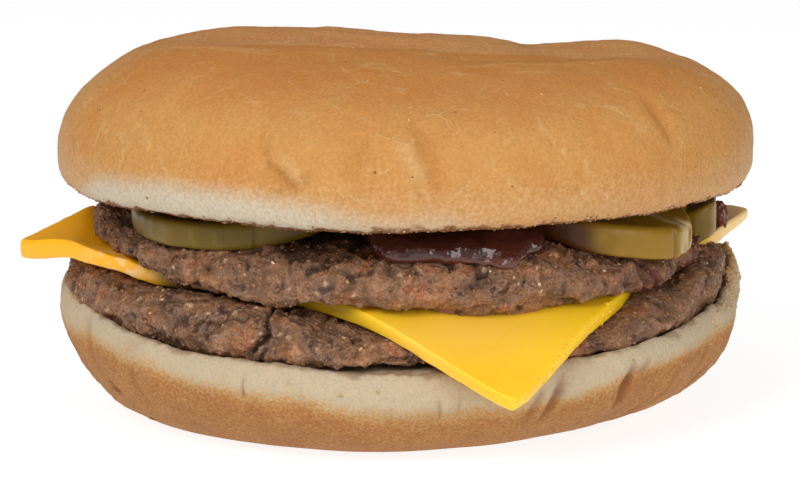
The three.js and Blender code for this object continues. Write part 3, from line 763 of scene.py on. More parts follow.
def cheese_grid():
    """The slice as rings, with more points at its corners and along its cut edge."""
    side = np.linspace(0, 1, 130, endpoint=False)
    angle = np.concatenate([(corner + 0.5 - 0.5 * np.cos(np.pi * side)) * np.pi / 2 for corner in range(4)])
    c, s = np.cos(angle), np.sin(angle)
    ends = np.where(c > 0, SLICE_BLUNT["front"], SLICE_BLUNT["rear"])
    blunt = np.where(np.abs(s) > 0.7, np.where(s < 0, SLICE_BLUNT["right"], SLICE_BLUNT["left"]), ends)
    to_side = SLICE["half_diagonal"] / (np.abs(c) + np.abs(s))
    past_cut = (to_side - SLICE["half_diagonal"] + blunt) / SLICE_BLUNT["softness"]
    reach = to_side - SLICE_BLUNT["softness"] * np.log1p(np.exp(past_cut))
    torn = 0.16 * lumps(c * reach / 1.3, s * reach / 1.3, 0.5)
    torn = torn + 0.12 * lumps(c * reach / 5, s * reach / 5, 4.5)
    reach = reach + torn - 0.15
    rows = []
    for inward, out, lift in slab_rings(**SLICE_RINGS, roundness=2.6):
        radius = (reach - SLICE_EDGE) * (1 - inward) + SLICE_EDGE * out
        rows.append(bent_slice(c * radius, -s * radius, lift + c * 0)[::-1])
    return np.stack(rows)


slice_of_cheese = cheese_grid()
waves = 0.1 * field(slice_of_cheese, 9, 2.0) + 0.03 * field(slice_of_cheese, 2.2, 5.0)
MELTED = {"at": (-38.0, -22.0, 22.9), "radius": 4.5}
melted_rim = bell(np.linalg.norm(slice_of_cheese - np.array(MELTED["at"]), axis=-1), MELTED["radius"])
slice_of_cheese = raised(slice_of_cheese, waves + 0.22 * melted_rim * field(slice_of_cheese, 0.9, 8.0))

# Processed cheese, cast in a thin sheet: an even yellow that lets a little light in, with a satin face. It
# has a painted sheen across the middle of its front flap, is painted pale near its left corner, partly as
# curds and partly as a painted highlight, and on its right corner as light falling there, and it is darker
# along its left front side, partly with grease and partly as painted shade between the patties.
CHEESE = {"yellow": "#ffcd1a", "deep": "#fcb908", "melted": "#f9a800", "greasy": "#4d3f1a",
          "dull": "#fbc646", "curd": "#f0cf9c"}
cheese_sheet, tree, shader, place = new_material("processed cheese cast")
melt = add(tree, "ShaderNodeTexNoise", {}, {"Vector": place, "Scale": per_mm(14), "Detail": 2.0})
shade = add(tree, "ShaderNodeMapRange", {},
            {"Value": melt.outputs["Fac"], "From Min": 0.4, "From Max": 0.65, "To Max": 0.6})
tint = add(tree, "ShaderNodeMix", {"data_type": "RGBA"},
           {0: shade.outputs[0], 6: linear(CHEESE["yellow"]), 7: linear(CHEESE["deep"])})
colour = tint.outputs[2]
for mask, paint in (("dull", "dull"), ("melted", "melted"), ("curdled", "curd"), ("greasy", "greasy")):
    share = add(tree, "ShaderNodeAttribute", {"attribute_name": mask}, {}).outputs["Fac"]
    painted = add(tree, "ShaderNodeMix", {"data_type": "RGBA"},
                  {0: share, 6: colour, 7: linear(CHEESE[paint])})
    colour = painted.outputs[2]
tree.links.new(colour, shader.inputs["Base Color"])
shader.inputs["Roughness"].default_value = 0.42
shader.inputs["Specular IOR Level"].default_value = 0.45
shader.inputs["Subsurface Weight"].default_value = 0.25
shader.inputs["Subsurface Radius"].default_value = (0.8, 0.45, 0.08)
shader.inputs["Subsurface Scale"].default_value = 2.5 * MM
ripple = add(tree, "ShaderNodeTexNoise", {}, {"Vector": place, "Scale": per_mm(0.7), "Detail": 2.0})
bumps = add(tree, "ShaderNodeBump", {},
            {"Strength": 0.25, "Distance": 0.08 * MM, "Height": ripple.outputs["Fac"]})
tree.links.new(bumps.outputs[0], shader.inputs["Normal"])

# Along its left front side, between the patties, it is painted dark olive: partly grease and partly painted
# shade.
along = slice_of_cheese[..., 0] + 1.2 * field(slice_of_cheese, 3, 6.0)
to_left_side = -0.568 * slice_of_cheese[..., 0] - 0.823 * slice_of_cheese[..., 1]
greasy = smooth(-37.5, -30, along) * (1 - smooth(-8.5, -4.0, along)) * smooth(36, 38, to_left_side)
# A painted sheen, paler and creamier, across the middle of the front flap.
dull = bell(forward_of(slice_of_cheese[..., 0], slice_of_cheese[..., 1]) - 45, 4.5)
dull = dull * bell(slice_of_cheese[..., 0] - 8, 13)
# Near the melted left corner it is painted pale: partly curds and partly a painted highlight.
curdled = 0.85 * melted_rim * smooth(-0.1, 0.35, field(slice_of_cheese, 1.1, 9.0, 2))
# Its right corner is painted pale as light falling on it.
curdled = np.maximum(curdled, 0.75 * smooth(41, 45.5, slice_of_cheese[..., 0]))
melted = 0.8 * smooth(22, 38, -slice_of_cheese[..., 0])
cheese_piece = ring_piece("cheese_slice", slice_of_cheese, cheese_sheet, greasy=0.95 * greasy, dull=dull,
                          curdled=curdled, melted=melted)
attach(cheese_piece, "root")
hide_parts("cheese")

# Bits torn from its right edge.
cheese_bit = crumb_material("processed cheese torn", ["#ffd23a", "#fbc01a"], 1.0, 0.45)
cut_side = np.zeros(slice_of_cheese.shape[:2])
cut_side[SLICE_RINGS["under"] - 1:SLICE_RINGS["under"] + SLICE_RINGS["rim"] + 2] = 1
x, y = slice_of_cheese[..., 0], slice_of_cheese[..., 1]
ragged_side = cut_side * smooth(14, 18, x) * (1 - smooth(26, 30, x)) * (y < -20)
crumbs_on(cheese_piece, "cheese_bits", ragged_side, cheese_bit, 1.3, 0.08, 0.32, 0.8, 8)


# Upper patty. The same beef, a little smaller and craggier. It thins out to the right, where the ketchup
# has stained it, and its top carries the pickles and the ketchup.
UPPER = {"centre": -1.3, "radius": 43.6, "top": 29.9, "edge": 4.2, "round": 2.3}


def upper_bottom(x, y):
    """Its underside lies on the slice, and hangs down over the slice's bend at the right front."""
    at_bend = smooth(35, 41.5, forward_of(x, y)) * smooth(-6, 12, x)
    hanging = (1.0 + 0.5 * bell(x - 20, 9)) * at_bend
    return middle(x, y) + SLICE["thickness"] / 2 + PATTY_GAP - 1.3 * past_slice(x, y) - hanging


def upper_top(x, y):
    """Its top is rounded down towards the rim, most in front, and slopes down to the right."""
    reach = np.hypot(x, y)
    front = smooth(0.1, 0.6, -y / np.maximum(1, reach))
    shoulder = 2.4 * smooth(26, 44, reach) * front + 1.0 * smooth(30, 44, reach)
    right = 0.003 * np.maximum(0, x - 8) ** 2
    return np.maximum(UPPER["top"] - shoulder - right, upper_bottom(x, y) + 1.5)


def upper_skin(x, y):
    """The top of the upper patty with its rounded rim."""
    reach = np.hypot(x - UPPER["centre"], y)
    out = np.clip((reach - UPPER["radius"]) / UPPER["edge"] + 1, 0, 1)
    half = (upper_top(x, y) - upper_bottom(x, y)) / 2
    return upper_top(x, y) - half * (1 - (1 - out ** UPPER["round"]) ** (1 / UPPER["round"]))


def upper_inset(bearing, c):
    """It falls short of the lower patty at the left end."""
    return 1.2 * smooth(0.6, 1, -c)


upper = patty_grid(UPPER, upper_bottom, upper_top, upper_inset, 11)
relief, seams, tone, proud = mince(upper, 1.0, 21.0)
# It is painted lighter across the middle of its front, as light falling there.
proud = proud + 0.16 * bell(upper[..., 0] - 6, 16)
upper = raised(upper, relief + 0.1)

# Ketchup has stained its right end and its front under the tongue. Near the top of its front, under the top
# bun's edge, it is painted near black: partly a film of juice and partly painted shadow under the bun's
# overhang.
bearing = np.degrees(np.arctan2(upper[..., 1], upper[..., 0]))
stain = 0.75 * smooth(26, 36, upper[..., 0]) * smooth(-0.5, 0.5, field(upper, 3, 3.0, 2))
stain = np.maximum(stain, 0.5 * bell(apart(bearing, -80), 14) * smooth(26.0, 27.6, upper[..., 2]))
# Painted near black where the top bun overhangs: partly a film of juice, partly painted shadow.
film = smooth(27.5, 28.3, upper[..., 2] + 0.4 * field(upper, 2.0, 14.0, 2))
film = film * smooth(0.2, 0.6, bell(apart(bearing, -94), 28))
upper_beef = beef_material("beef mince griddled brown", 0.5)
upper_piece = ring_piece("upper_patty", upper, upper_beef, tone=tone, proud=proud, seams=seams * 0.7,
                         stain=stain, film=0.97 * film)
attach(upper_piece, "root")
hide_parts("patty_upper")
grainy = smooth(20, 22, upper[..., 2]) * (np.hypot(upper[..., 0], upper[..., 1]) > 34) * (1 - film)
crumbs_on(upper_piece, "upper_patty_grains", grainy, beef_grain, 0.9, 0.1, 0.42, 0.8, 15)
crumbs_on(upper_piece, "upper_patty_fat", grainy, fat_curd, 0.06, 0.1, 0.34, 0.7, 16)


# Pickles. Three limp slices of pickled cucumber with smooth cut rims, which lie on the upper patty or past
# its end on the cheese. Ketchup has run over the left end of the right one.
PICKLES = {
    "pickle_left": {"x": -20.2, "y": -18.5, "radius": 17.0, "thickness": 3.8, "hangs": 0.0,
                    "dents": [(-88, 1.2, 0.35)]},
    "pickle_right": {"x": 25.2, "y": -19.2, "radius": 13.8, "thickness": 4.4, "hangs": 0.0,
                     "dents": [(-36, 1.6, 1.0), (-24, 4.0, 0.5), (-12, 2.0, 1.0)]},
    "pickle_rear": {"x": 35.7, "y": 2.1, "radius": 9.5, "thickness": 5.4, "hangs": 1.0,
                    "dents": [(-60, 20.0, -4.2)]},
}
PICKLE_EDGE = 1.7
PICKLE_FRESH = {"pickle_left": 0.0, "pickle_right": 0.6, "pickle_rear": 0.25}


def slice_top(x, y):
    """The top of the cheese, where a pickle lies on it past the patty."""
    across = y * FORWARD[0] - x * FORWARD[1]
    return middle(x, y) + 0.5 * right_curl(across) + SLICE["thickness"] / 2


def pickle_grid(size, seed):
    """A limp slice of pickle as rings, draped over what lies under it."""
    bearing, c, s = directions(360)
    reach = size["radius"] + 0.35 * lumps(c * 2 + seed, s * 2, seed) + 0.12 * lumps(c * 9, s * 9, seed)
    for turn, width, depth in size["dents"]:
        reach = reach - depth * bell(apart(bearing, turn), width)
    rows = []
    for inward, out, lift in slab_rings(10, 30, 24, 4.0):
        radius = (reach - PICKLE_EDGE) * (1 - inward) + PICKLE_EDGE * out
        x, y = size["x"] + c * radius, size["y"] + s * radius
        past_patty = size["hangs"] * smooth(41.0, 43.4, np.hypot(x - UPPER["centre"], y))
        base = np.maximum(mix(upper_top(x, y), 0, past_patty), slice_top(x, y)) + PATTY_GAP
        rows.append(np.stack([x, y, base + size["thickness"] * (lift + 1) / 2], axis=-1))
    return np.stack(rows)


# Pickled cucumber, sliced. Olive flesh with faint streaks, wet and a little translucent.
PICKLE = {"olive": "#7d5f17", "green": "#4b3e0e", "pale": "#8e7434", "yellow": "#a9801f", "rind": "#d6bf94",
          "sauce": "#43140c"}
pickle_flesh, tree, shader, place = new_material("pickled cucumber sliced")
stretched = add(tree, "ShaderNodeMapping", {}, {"Vector": place, "Scale": (1.0, 1.0, 0.3)})
streaks = add(tree, "ShaderNodeTexNoise", {},
              {"Vector": stretched.outputs[0], "Scale": per_mm(1.6), "Detail": 3.0})
patches = add(tree, "ShaderNodeTexNoise", {}, {"Vector": place, "Scale": per_mm(7), "Detail": 2.0})
flesh = add(tree, "ShaderNodeMix", {"data_type": "RGBA"},
            {0: patches.outputs["Fac"], 6: linear(PICKLE["green"]), 7: linear(PICKLE["olive"])})
pale = add(tree, "ShaderNodeMapRange", {},
           {"Value": streaks.outputs["Fac"], "From Min": 0.5, "From Max": 0.8, "To Max": 0.3})
smear, cut_rind, fresh = (add(tree, "ShaderNodeAttribute", {"attribute_name": mask}, {}).outputs["Fac"]
                          for mask in ("smear", "rind", "fresh"))
colour = flesh.outputs[2]
for share, paint in ((pale.outputs[0], "pale"), (fresh, "yellow"), (cut_rind, "rind"), (smear, "sauce")):
    painted = add(tree, "ShaderNodeMix", {"data_type": "RGBA"},
                  {0: share, 6: colour, 7: linear(PICKLE[paint])})
    colour = painted.outputs[2]
tree.links.new(colour, shader.inputs["Base Color"])
shader.inputs["Roughness"].default_value = 0.34
shader.inputs["Specular IOR Level"].default_value = 0.25
shader.inputs["Subsurface Weight"].default_value = 0.12
shader.inputs["Subsurface Radius"].default_value = (0.6, 0.6, 0.2)
shader.inputs["Subsurface Scale"].default_value = 2.0 * MM
bumps = add(tree, "ShaderNodeBump", {},
            {"Strength": 0.4, "Distance": 0.12 * MM, "Height": streaks.outputs["Fac"]})
tree.links.new(bumps.outputs[0], shader.inputs["Normal"])

for seed, (node, size) in enumerate(PICKLES.items()):
    grid = pickle_grid(size, 3 + 2 * seed)
    folds = 0.35 * np.abs(field(grid, 4.5, 9.0 + seed)) * smooth(34, 38, grid[..., 0])
    grid = raised(grid, 0.12 * field(grid, 5, 2.0 + seed, 2) - folds)
    run_over = 1 - smooth(21.0, 30.0, grid[..., 0] + 2.6 * field(grid, 2.6, 3.0))
    run_over = run_over * (node == "pickle_right")
    turn = np.degrees(np.arctan2(grid[..., 1] - size["y"], grid[..., 0] - size["x"]))
    folded = smooth(0.35, 0.7, bell(apart(turn, -16), 12)) * smooth(-0.6, 0.4, field(grid, 1.8, 5.0))
    piece = ring_piece(node + "_slice", grid, pickle_flesh, smear=0.9 * run_over,
                       rind=0.55 * folded * (node == "pickle_right"), fresh=PICKLE_FRESH[node])
    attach(piece, "root")
    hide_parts(node)


# Ketchup. A thick puddle on the upper patty, pressed out at the front in one broad tongue, and a drop of
# it squeezed out at the right end.
KETCHUP = {"radius": 31, "tongue": 11.6, "direction": -79, "depth": 3.9, "edge": 3.4}
DROP = {"at": (45.25, -1.1, 26.1), "radius": 1.15, "half_height": 2.07}
CROWN = {"rim": 31.6, "widest": 35.4, "top": 51.9, "hollow": 3.2, "boxy": 2.8}


def crown_under(x, y):
    """The height of the top bun's cut face, hollowed over the patty."""
    return CROWN["rim"] + CROWN["hollow"] * (1 - smooth(28, 47.5, np.hypot(x, y)))


def ketchup_grid():
    """The puddle as rings, from the patty up to the top bun's cut face, with its tongue at the front."""
    bearing, c, s = directions(420)
    turn = apart(bearing, KETCHUP["direction"])
    tongue = 1 - smooth(13, 25, np.abs(turn))
    reach = KETCHUP["radius"] + KETCHUP["tongue"] * tongue - 1.0 * bell(turn - 14, 4)
    reach = reach + 0.5 * lumps(c * 14, s * 14, 2.2) + 0.35 * lumps(c * 30, s * 30, 2.9)
    rows = []
    for inward, out, lift in slab_rings(10, 34, 30, 2.0):
        radius = (reach - KETCHUP["edge"]) * (1 - inward) + KETCHUP["edge"] * out
        x, y = c * radius, s * radius
        low = upper_skin(x, y) - 0.25
        high = np.minimum(low + KETCHUP["depth"], crown_under(x, y) - 0.3)
        rows.append(np.stack([x, y, mix(low, high, (lift + 1) / 2)], axis=-1))
    return np.stack(rows)


# Tomato ketchup, cooked and strained: a smooth wet paste, dark red-brown where it lies thick.
PASTE = {"thick": "#35170f", "lit": "#4a2118", "thin": "#6b2f1e"}
ketchup_paste, tree, shader, place = new_material("tomato ketchup cooked")
depth = add(tree, "ShaderNodeTexNoise", {}, {"Vector": place, "Scale": per_mm(6), "Detail": 2.0})
thick = add(tree, "ShaderNodeMapRange", {},
            {"Value": depth.outputs["Fac"], "From Min": 0.35, "From Max": 0.7})
paste = add(tree, "ShaderNodeMix", {"data_type": "RGBA"},
            {0: thick.outputs[0], 6: linear(PASTE["thick"]), 7: linear(PASTE["lit"])})
thin = add(tree, "ShaderNodeAttribute", {"attribute_name": "thin"}, {}).outputs["Fac"]
spread = add(tree, "ShaderNodeMix", {"data_type": "RGBA"},
             {0: thin, 6: paste.outputs[2], 7: linear(PASTE["thin"])})
tree.links.new(spread.outputs[2], shader.inputs["Base Color"])
shader.inputs["Roughness"].default_value = 0.14
shader.inputs["Specular IOR Level"].default_value = 0.6
drops = add(tree, "ShaderNodeTexNoise", {}, {"Vector": place, "Scale": per_mm(1.8), "Detail": 2.0})
bumps = add(tree, "ShaderNodeBump", {},
            {"Strength": 0.9, "Distance": 0.5 * MM, "Height": drops.outputs["Fac"]})
tree.links.new(bumps.outputs[0], shader.inputs["Normal"])

ketchup = ketchup_grid()
ketchup = raised(ketchup, 0.34 * field(ketchup, 3.2, 6.0, 2))
thinned = smooth(28.2, 26.6, ketchup[..., 2] + 0.5 * field(ketchup, 2.5, 4.0))
ketchup_piece = ring_piece("ketchup_puddle", ketchup, ketchup_paste, thin=0.5 * thinned)
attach(ketchup_piece, "root")
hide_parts("ketchup")

bearing, c, s = directions(40, 0.0)
drop = np.stack([np.stack([c * math.cos(t), s * math.cos(t), c * 0 + math.sin(t)], axis=-1)
                 for t in np.linspace(-np.pi / 2, np.pi / 2, 24)])
drop = drop * np.array([DROP["radius"], DROP["radius"], DROP["half_height"]])
drop = drop * (1 + 0.22 * field(drop, 0.8, 4.0, 2))[..., None] + np.array(DROP["at"])
drop_piece = ring_piece("ketchup_bead", drop, ketchup_paste, thin=0.9)
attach(drop_piece, "root")
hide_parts("ketchup_drop")


# Top bun. A soft golden dome of the same bread, pressed by its wrapper: a furrow runs across its top, with
# a crest in front of it, and its skin is creased in fine lines. Its lower edge stays pale, its rim toasted.

# Creases in its side: points in mm round from the front and mm up, with width and depth.
SIDE_CREASES = [
    ([(0.6, 47.0), (2.6, 43.2), (3.9, 39.8), (4.4, 36.6)], 1.3, 0.55),
    ([(1.0, 38.2), (2.2, 36.4), (3.8, 33.6)], 0.6, 0.3),
    ([(-5.6, 44.0), (-6.4, 41.0), (-7.2, 38.0)], 1.6, 0.45),
    ([(-18.0, 36.0), (-14.5, 37.6), (-12.0, 39.6)], 0.5, 0.4),
    ([(-20.4, 44.6), (-18.3, 39.6)], 0.6, 0.35),
    ([(-18.9, 40.8), (-14.2, 36.9)], 0.45, 0.6),
    ([(-12.2, 37.0), (-16.0, 38.4), (-20.0, 38.6)], 1.8, 0.35),
    ([(41.6, 49.2), (39.6, 45.4), (40.2, 40.9)], 1.2, 0.55),
    ([(23.8, 39.6), (23.4, 35.4)], 0.6, 0.25),
    ([(37.6, 36.6), (38.0, 33.6)], 0.7, 0.3),
    ([(19.4, 39.0), (20.6, 36.4), (22.6, 34.4)], 0.5, 0.2),
    ([(-9.6, 34.6), (-5.2, 37.0), (-2.6, 37.4)], 0.9, 0.22),
    ([(-3.6, 34.0), (-0.8, 36.0)], 0.7, 0.2),
    ([(-44.6, 35.0), (-44.0, 33.0)], 0.5, 0.3),
    ([(-60, 40), (-57, 36)], 0.9, 0.3),
    ([(66, 41), (70, 37)], 0.8, 0.3),
    ([(104, 43), (109, 36)], 1.0, 0.4),
    ([(-98, 44), (-103, 38)], 1.1, 0.4),
    ([(142, 41), (138, 35)], 0.8, 0.35),
]
# Raised lines in its skin, painted pale partly as paler crust and partly as a painted highlight on their
# crests, in the same way.
SIDE_LINES = [
    ([(-1.0, 43.4), (1.4, 40.4), (2.6, 38.2)], 1.1, 0.2),
    ([(1.8, 37.8), (2.9, 36.2), (4.3, 34.0)], 0.3, 0.16),
    ([(-16.8, 41.6), (-14.6, 39.6), (-13.4, 37.6)], 0.7, 0.16),
    ([(-40.4, 43.8), (-39.2, 42.0), (-37.6, 41.2)], 0.3, 0.16),
    ([(-38.8, 41.8), (-38.0, 40.2)], 0.3, 0.14),
    ([(19.9, 46.7), (19.5, 44.8), (21.0, 42.6)], 0.28, 0.16),
    ([(24.6, 40.6), (24.8, 38.0)], 0.3, 0.14),
    ([(-18.9, 41.4), (-18.8, 39.6)], 0.25, 0.14),
    ([(8.4, 38.6), (8.0, 36.2)], 0.25, 0.12),
]
# Creases and raised folds of its top: points in mm to the right and mm back, with width and depth.
TOP_CREASES = [
    ([(-26.5, -6.0), (-22.0, -11.5), (-17.0, -14.5)], 2.4, 0.45),
    ([(6.0, -20.5), (13.0, -18.5), (20.0, -15.5), (26.0, -10.0)], 2.6, 0.4),
    ([(19.0, 12.0), (18.0, 22.0), (19.5, 34.0)], 2.2, 0.35),
    ([(-6.0, 18.0), (-14.0, 24.0), (-20.0, 33.0)], 2.2, 0.25),
    ([(34.0, -4.0), (38.0, 6.0)], 2.0, 0.2),
    ([(-38.0, 2.0), (-34.0, 12.0)], 2.2, 0.2),
]
TOP_FOLDS = [
    ([(-9.5, -26.2), (-6.9, -30.2), (-4.5, -26.1), (-2.7, -26.6), (0.1, -31.5), (3.4, -29.3)], 0.35, 0.1),
    ([(5.0, -27.5), (10.1, -24.6), (14.0, -23.6), (18.6, -22.6), (23.6, -18.5)], 0.5, 0.14),
    ([(-33.9, -9.1), (-28.0, -14.5), (-19.0, -18.5)], 0.5, 0.1),
    ([(-31.0, -12.5), (-24.0, -18.0), (-15.0, -20.5)], 0.4, 0.1),
]


def crown_top(x, y):
    """The height that its dome has at the middle: sunk in a furrow from side to side, and notched behind."""
    along = smooth(-42, -24, x) * (1 - smooth(30, 46, x))
    furrow = 3.2 * bell(y - 4, 13) * along
    notch = 1.25 * bell(x - 19, 6) * smooth(2, 22, y) + 0.35 * bell(x - 9, 6) + 0.4 * bell(x - 26, 5)
    far = 1.6 * smooth(8, 34, y) * bell(x - 4, 22)
    humps = 2.6 * bell(x + 34, 14) + 1.9 * bell(x - 36.5, 11)
    return CROWN["top"] - 0.035 * x - furrow - notch - far + humps


def crown_grid():
    """The top bun as rings, from its cut face round its rim and up its side to the top."""
    bearing, c, s = directions(620)
    reach = BUN_RADIUS - 0.3 - 0.3 * c * c + 0.5 * lumps(c * 2 + 3, s * 2, 5.5)
    power = 2 / (CROWN["boxy"] + 0.45 * c)
    edge = CROWN["rim"] + 0.35 * lumps(c * 3, s * 3, 1.7) + 0.4 * bell(apart(bearing, -125), 16)
    ragged = 0.12 * lumps(c * 30, s * 30, 6.5) + 0.1 * lumps(c * 70, s * 70, 7.5)
    rows = []
    for radius in (0, 10, 20, 28, 33, 38, 42, 44, 45.4):
        x, y = c * radius, s * radius
        rim = edge + 0.4 * smooth(0, 30, x)
        rows.append(np.stack([x, y, crown_under(x, y) + 0.1 * (rim - CROWN["rim"])], axis=-1))
    for turn in np.radians(np.linspace(4, 88, 26)):
        radius = (0.932 + 0.068 * math.sin(turn)) * reach
        x, y = c * radius, s * radius
        rim = edge + 0.4 * smooth(0, 30, x)
        rise = (1 - math.cos(turn)) ** 1.25
        rows.append(np.stack([x, y, mix(rim, CROWN["widest"], rise) + ragged * (1 - rise)], axis=-1))
    for turn in np.radians(90 * np.linspace(0, 1, 118) ** 0.95):
        radius = max(0.0, math.cos(turn)) ** power * reach
        x, y = c * radius, s * radius
        z = mix(CROWN["widest"], crown_top(x, y), math.sin(turn) ** power)
        rows.append(np.stack([x, y, z], axis=-1))
    rows[-1] = np.broadcast_to(rows[-1].mean(axis=0), rows[-1].shape)
    return np.stack(rows)


crown = crown_grid()
round_from_front, up = crust_places(crown)
facing_up = outward(crown)[..., 2]
side = 1 - smooth(0.75, 0.97, facing_up)
top = (1 - side) * (up > 40)
skin = (np.linalg.norm(crown[..., :2], axis=-1) > 46) | (up > 36.5)
dents = creased(round_from_front, up, SIDE_CREASES) * side
dents = dents + creased(crown[..., 0], crown[..., 1], TOP_CREASES) * smooth(0.5, 0.9, facing_up)
lines = creased(round_from_front, up, SIDE_LINES) * side
lines = lines + creased(crown[..., 0], crown[..., 1], TOP_FOLDS) * smooth(0.3, 0.8, facing_up)
swells = 0.3 * field(crown, 13, 7.0) + 0.14 * field(crown, 5, 9.0, 2)
puckers = 0.09 * np.abs(field(crown + 1.5 * field(crown, 5, 31.0)[..., None], 2.8, 15.0))
crown = raised(crown, (swells - dents + lines - puckers + 0.04 * field(crown, 1.3, 3.0, 2)) * skin)
front_left = smooth(-64, -48, round_from_front) * (1 - smooth(-22, 22, round_from_front))
pale_to = 33.2 + 3.1 * front_left * smooth(-66, -44, round_from_front)
pale_to = pale_to - 1.5 * bell(round_from_front + 5, 6) - 0.6 * bell(round_from_front + 14, 5)
pale_to = pale_to - 1.0 * smooth(6, 22, round_from_front) * (1 - smooth(60, 90, round_from_front))
pale_to = pale_to + 0.5 * field(crown, 6, 4.0)
pale = (1 - smooth(pale_to - 2.2, pale_to + 2.8, up)) * (0.4 + 0.6 * front_left)
edge_up = up - 0.4 * smooth(0, 30, crown[..., 0]) + 0.6 * field(crown, 1.2, 2.0, 2)
toast_up = 0.8 * smooth(-60, -44, round_from_front) * (1 - smooth(12, 30, round_from_front))
toast_up = toast_up + CROWN["rim"] - 0.5
toasted = 1 - smooth(-0.97, -0.8, facing_up) * smooth(toast_up - 0.5, toast_up + 1.2, edge_up)

# The same bread with a thin golden crust, brushed dry: matt and finely speckled. It is painted deeper as
# shade in its dents and furrows, and pale along its raised lines and fine wrinkles, partly as paler crust
# and partly as a painted highlight.
CRUST = {"gold": "#c48d4d", "amber": "#c28040", "furrow": "#ab7030", "pale": "#c4b59d", "line": "#d4b07c",
         "toast": "#75482a", "speck": "#7a4a26"}
crown_crust, tree, shader, place = new_material("wheat bread golden crust")
masks = {name: add(tree, "ShaderNodeAttribute", {"attribute_name": name}, {}).outputs["Fac"]
         for name in ("height", "dent", "line", "pale", "toasted")}
clouds = add(tree, "ShaderNodeTexNoise", {},
             {"Vector": place, "Scale": per_mm(9), "Detail": 5.0, "Roughness": 0.6})
dots = add(tree, "ShaderNodeTexNoise", {},
           {"Vector": place, "Scale": per_mm(0.5), "Detail": 3.0, "Roughness": 0.75})
cloudy = add(tree, "ShaderNodeMapRange", {},
             {"Value": clouds.outputs["Fac"], "From Min": 0.32, "From Max": 0.68,
              "To Min": -0.35, "To Max": 0.65})
drawn = add(tree, "ShaderNodeTexNoise", {}, {"Vector": place, "Scale": per_mm(5), "Detail": 3.0})
pulled = add(tree, "ShaderNodeVectorMath", {"operation": "MULTIPLY_ADD"},
             {0: drawn.outputs["Color"], 1: (6 * MM, 6 * MM, 6 * MM), 2: place})
# Fine wrinkles over the skin, painted pale: partly paler crust, partly a painted highlight.
cells = add(tree, "ShaderNodeTexVoronoi", {"feature": "DISTANCE_TO_EDGE"},
            {"Vector": pulled.outputs[0], "Scale": per_mm(8)})
near_fold = add(tree, "ShaderNodeMapRange", {},
                {"Value": cells.outputs["Distance"], "From Min": 0.045, "From Max": 0.0})
here = add(tree, "ShaderNodeMapRange", {},
           {"Value": drawn.outputs["Fac"], "From Min": 0.48, "From Max": 0.62, "To Max": 0.4})
wrinkle = add(tree, "ShaderNodeMath", {"operation": "MULTIPLY"},
              {0: near_fold.outputs[0], 1: here.outputs[0]})
amber = add(tree, "ShaderNodeMath", {"operation": "ADD", "use_clamp": True},
            {0: masks["height"], 1: cloudy.outputs[0]})
ground = add(tree, "ShaderNodeMix", {"data_type": "RGBA"},
             {0: amber.outputs[0], 6: linear(CRUST["gold"]), 7: linear(CRUST["amber"])})
dotted = add(tree, "ShaderNodeMath", {"operation": "MULTIPLY_ADD"},
             {0: dots.outputs["Fac"], 1: 0.5, 2: -0.25})
paled = add(tree, "ShaderNodeMath", {"operation": "ADD"}, {0: masks["pale"], 1: dotted.outputs[0]})
pale_share = add(tree, "ShaderNodeMapRange", {},
                 {"Value": paled.outputs[0], "From Min": 0.12, "From Max": 0.95})
toasty = add(tree, "ShaderNodeMath", {"operation": "MULTIPLY_ADD"},
             {0: dotted.outputs[0], 1: 2.4, 2: masks["toasted"]})
toast_share = add(tree, "ShaderNodeMapRange", {},
                  {"Value": toasty.outputs[0], "From Min": 0.25, "From Max": 0.85})
specks = add(tree, "ShaderNodeTexVoronoi", {"feature": "F1"}, {"Vector": place, "Scale": per_mm(5.5)})
speck = add(tree, "ShaderNodeMapRange", {},
            {"Value": specks.outputs["Distance"], "From Min": 0.055, "From Max": 0.03, "To Max": 0.75})
colour = ground.outputs[2]
for share, paint in ((masks["dent"], "furrow"), (wrinkle.outputs[0], "line"),
                     (pale_share.outputs[0], "pale"), (masks["line"], "line"),
                     (toast_share.outputs[0], "toast"), (speck.outputs[0], "speck")):
    painted = add(tree, "ShaderNodeMix", {"data_type": "RGBA"},
                  {0: share, 6: colour, 7: linear(CRUST[paint])})
    colour = painted.outputs[2]
grain = add(tree, "ShaderNodeMapRange", {},
            {"Value": dots.outputs["Fac"], "From Min": 0.36, "From Max": 0.64,
             "To Min": 0.88, "To Max": 1.1})
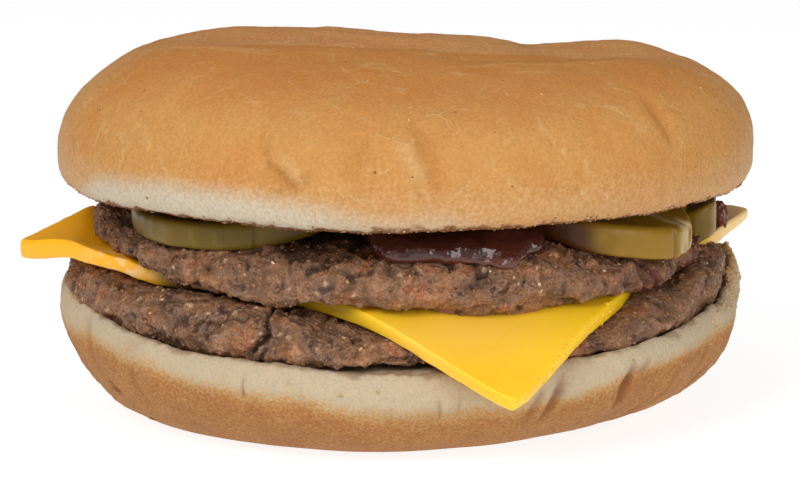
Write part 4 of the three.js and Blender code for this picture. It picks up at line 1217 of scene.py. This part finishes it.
grained = add(tree, "ShaderNodeVectorMath", {"operation": "SCALE"}, {0: colour, 3: grain.outputs[0]})
tree.links.new(grained.outputs[0], shader.inputs["Base Color"])
relief = add(tree, "ShaderNodeMath", {"operation": "MULTIPLY_ADD"},
             {0: wrinkle.outputs[0], 1: 1.2, 2: dots.outputs["Fac"]})
bumps = add(tree, "ShaderNodeBump", {},
            {"Strength": 0.8, "Distance": 0.28 * MM, "Height": relief.outputs[0]})
tree.links.new(bumps.outputs[0], shader.inputs["Normal"])
shader.inputs["Roughness"].default_value = 0.78
shader.inputs["Specular IOR Level"].default_value = 0.22

pale = np.maximum(pale, 0.26 * (1 - smooth(33, 43, up)) + 0.2 * smooth(42, 72, np.abs(round_from_front)))
# Its dents and creases are painted deeper, as shade falling in them.
furrowed = np.clip(dents * 0.9, 0, 0.4)
# Its raised lines and folds are painted pale: partly paler crust and partly a painted highlight on their
# crests.
lined = np.clip(lines * 2.0, 0, 0.45)
crown_piece = ring_piece("top_bun", crown, crown_crust, height=0.8 * smooth(44, 51, up), pale=pale,
                         dent=furrowed, line=lined, toasted=toasted)
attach(crown_piece, "root")
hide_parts("crown")

# Crumbs of its toasted lower edge, and a few dark and pale specks on its skin.
RIM_BROWNS = ["#5f3a20", "#a07a50", "#7d4f2c", "#c2aa86"]
edge_crumb = crumb_material("toasted wheat rim crumb", RIM_BROWNS, 0.45, 0.85)
at_edge = bell(edge_up - CROWN["rim"] - 0.3, 0.45) * skin
crumbs_on(crown_piece, "crown_rim_crumbs", at_edge, edge_crumb, 4.0, 0.06, 0.26, 0.8, 21)
on_skin = smooth(36, 38, up)
seed_dark = crumb_material("wheat bran dark", ["#5b3219", "#74431f"], 2.0, 0.7)
crumbs_on(crown_piece, "crown_specks", on_skin, seed_dark, 0.006, 0.06, 0.14, 0.3, 31)
flake_pale = crumb_material("wheat flour flake", ["#ead9bc", "#f2e8d4"], 2.0, 0.7)
crumbs_on(crown_piece, "crown_flakes", on_skin, flake_pale, 0.0035, 0.08, 0.22, 0.3, 33)
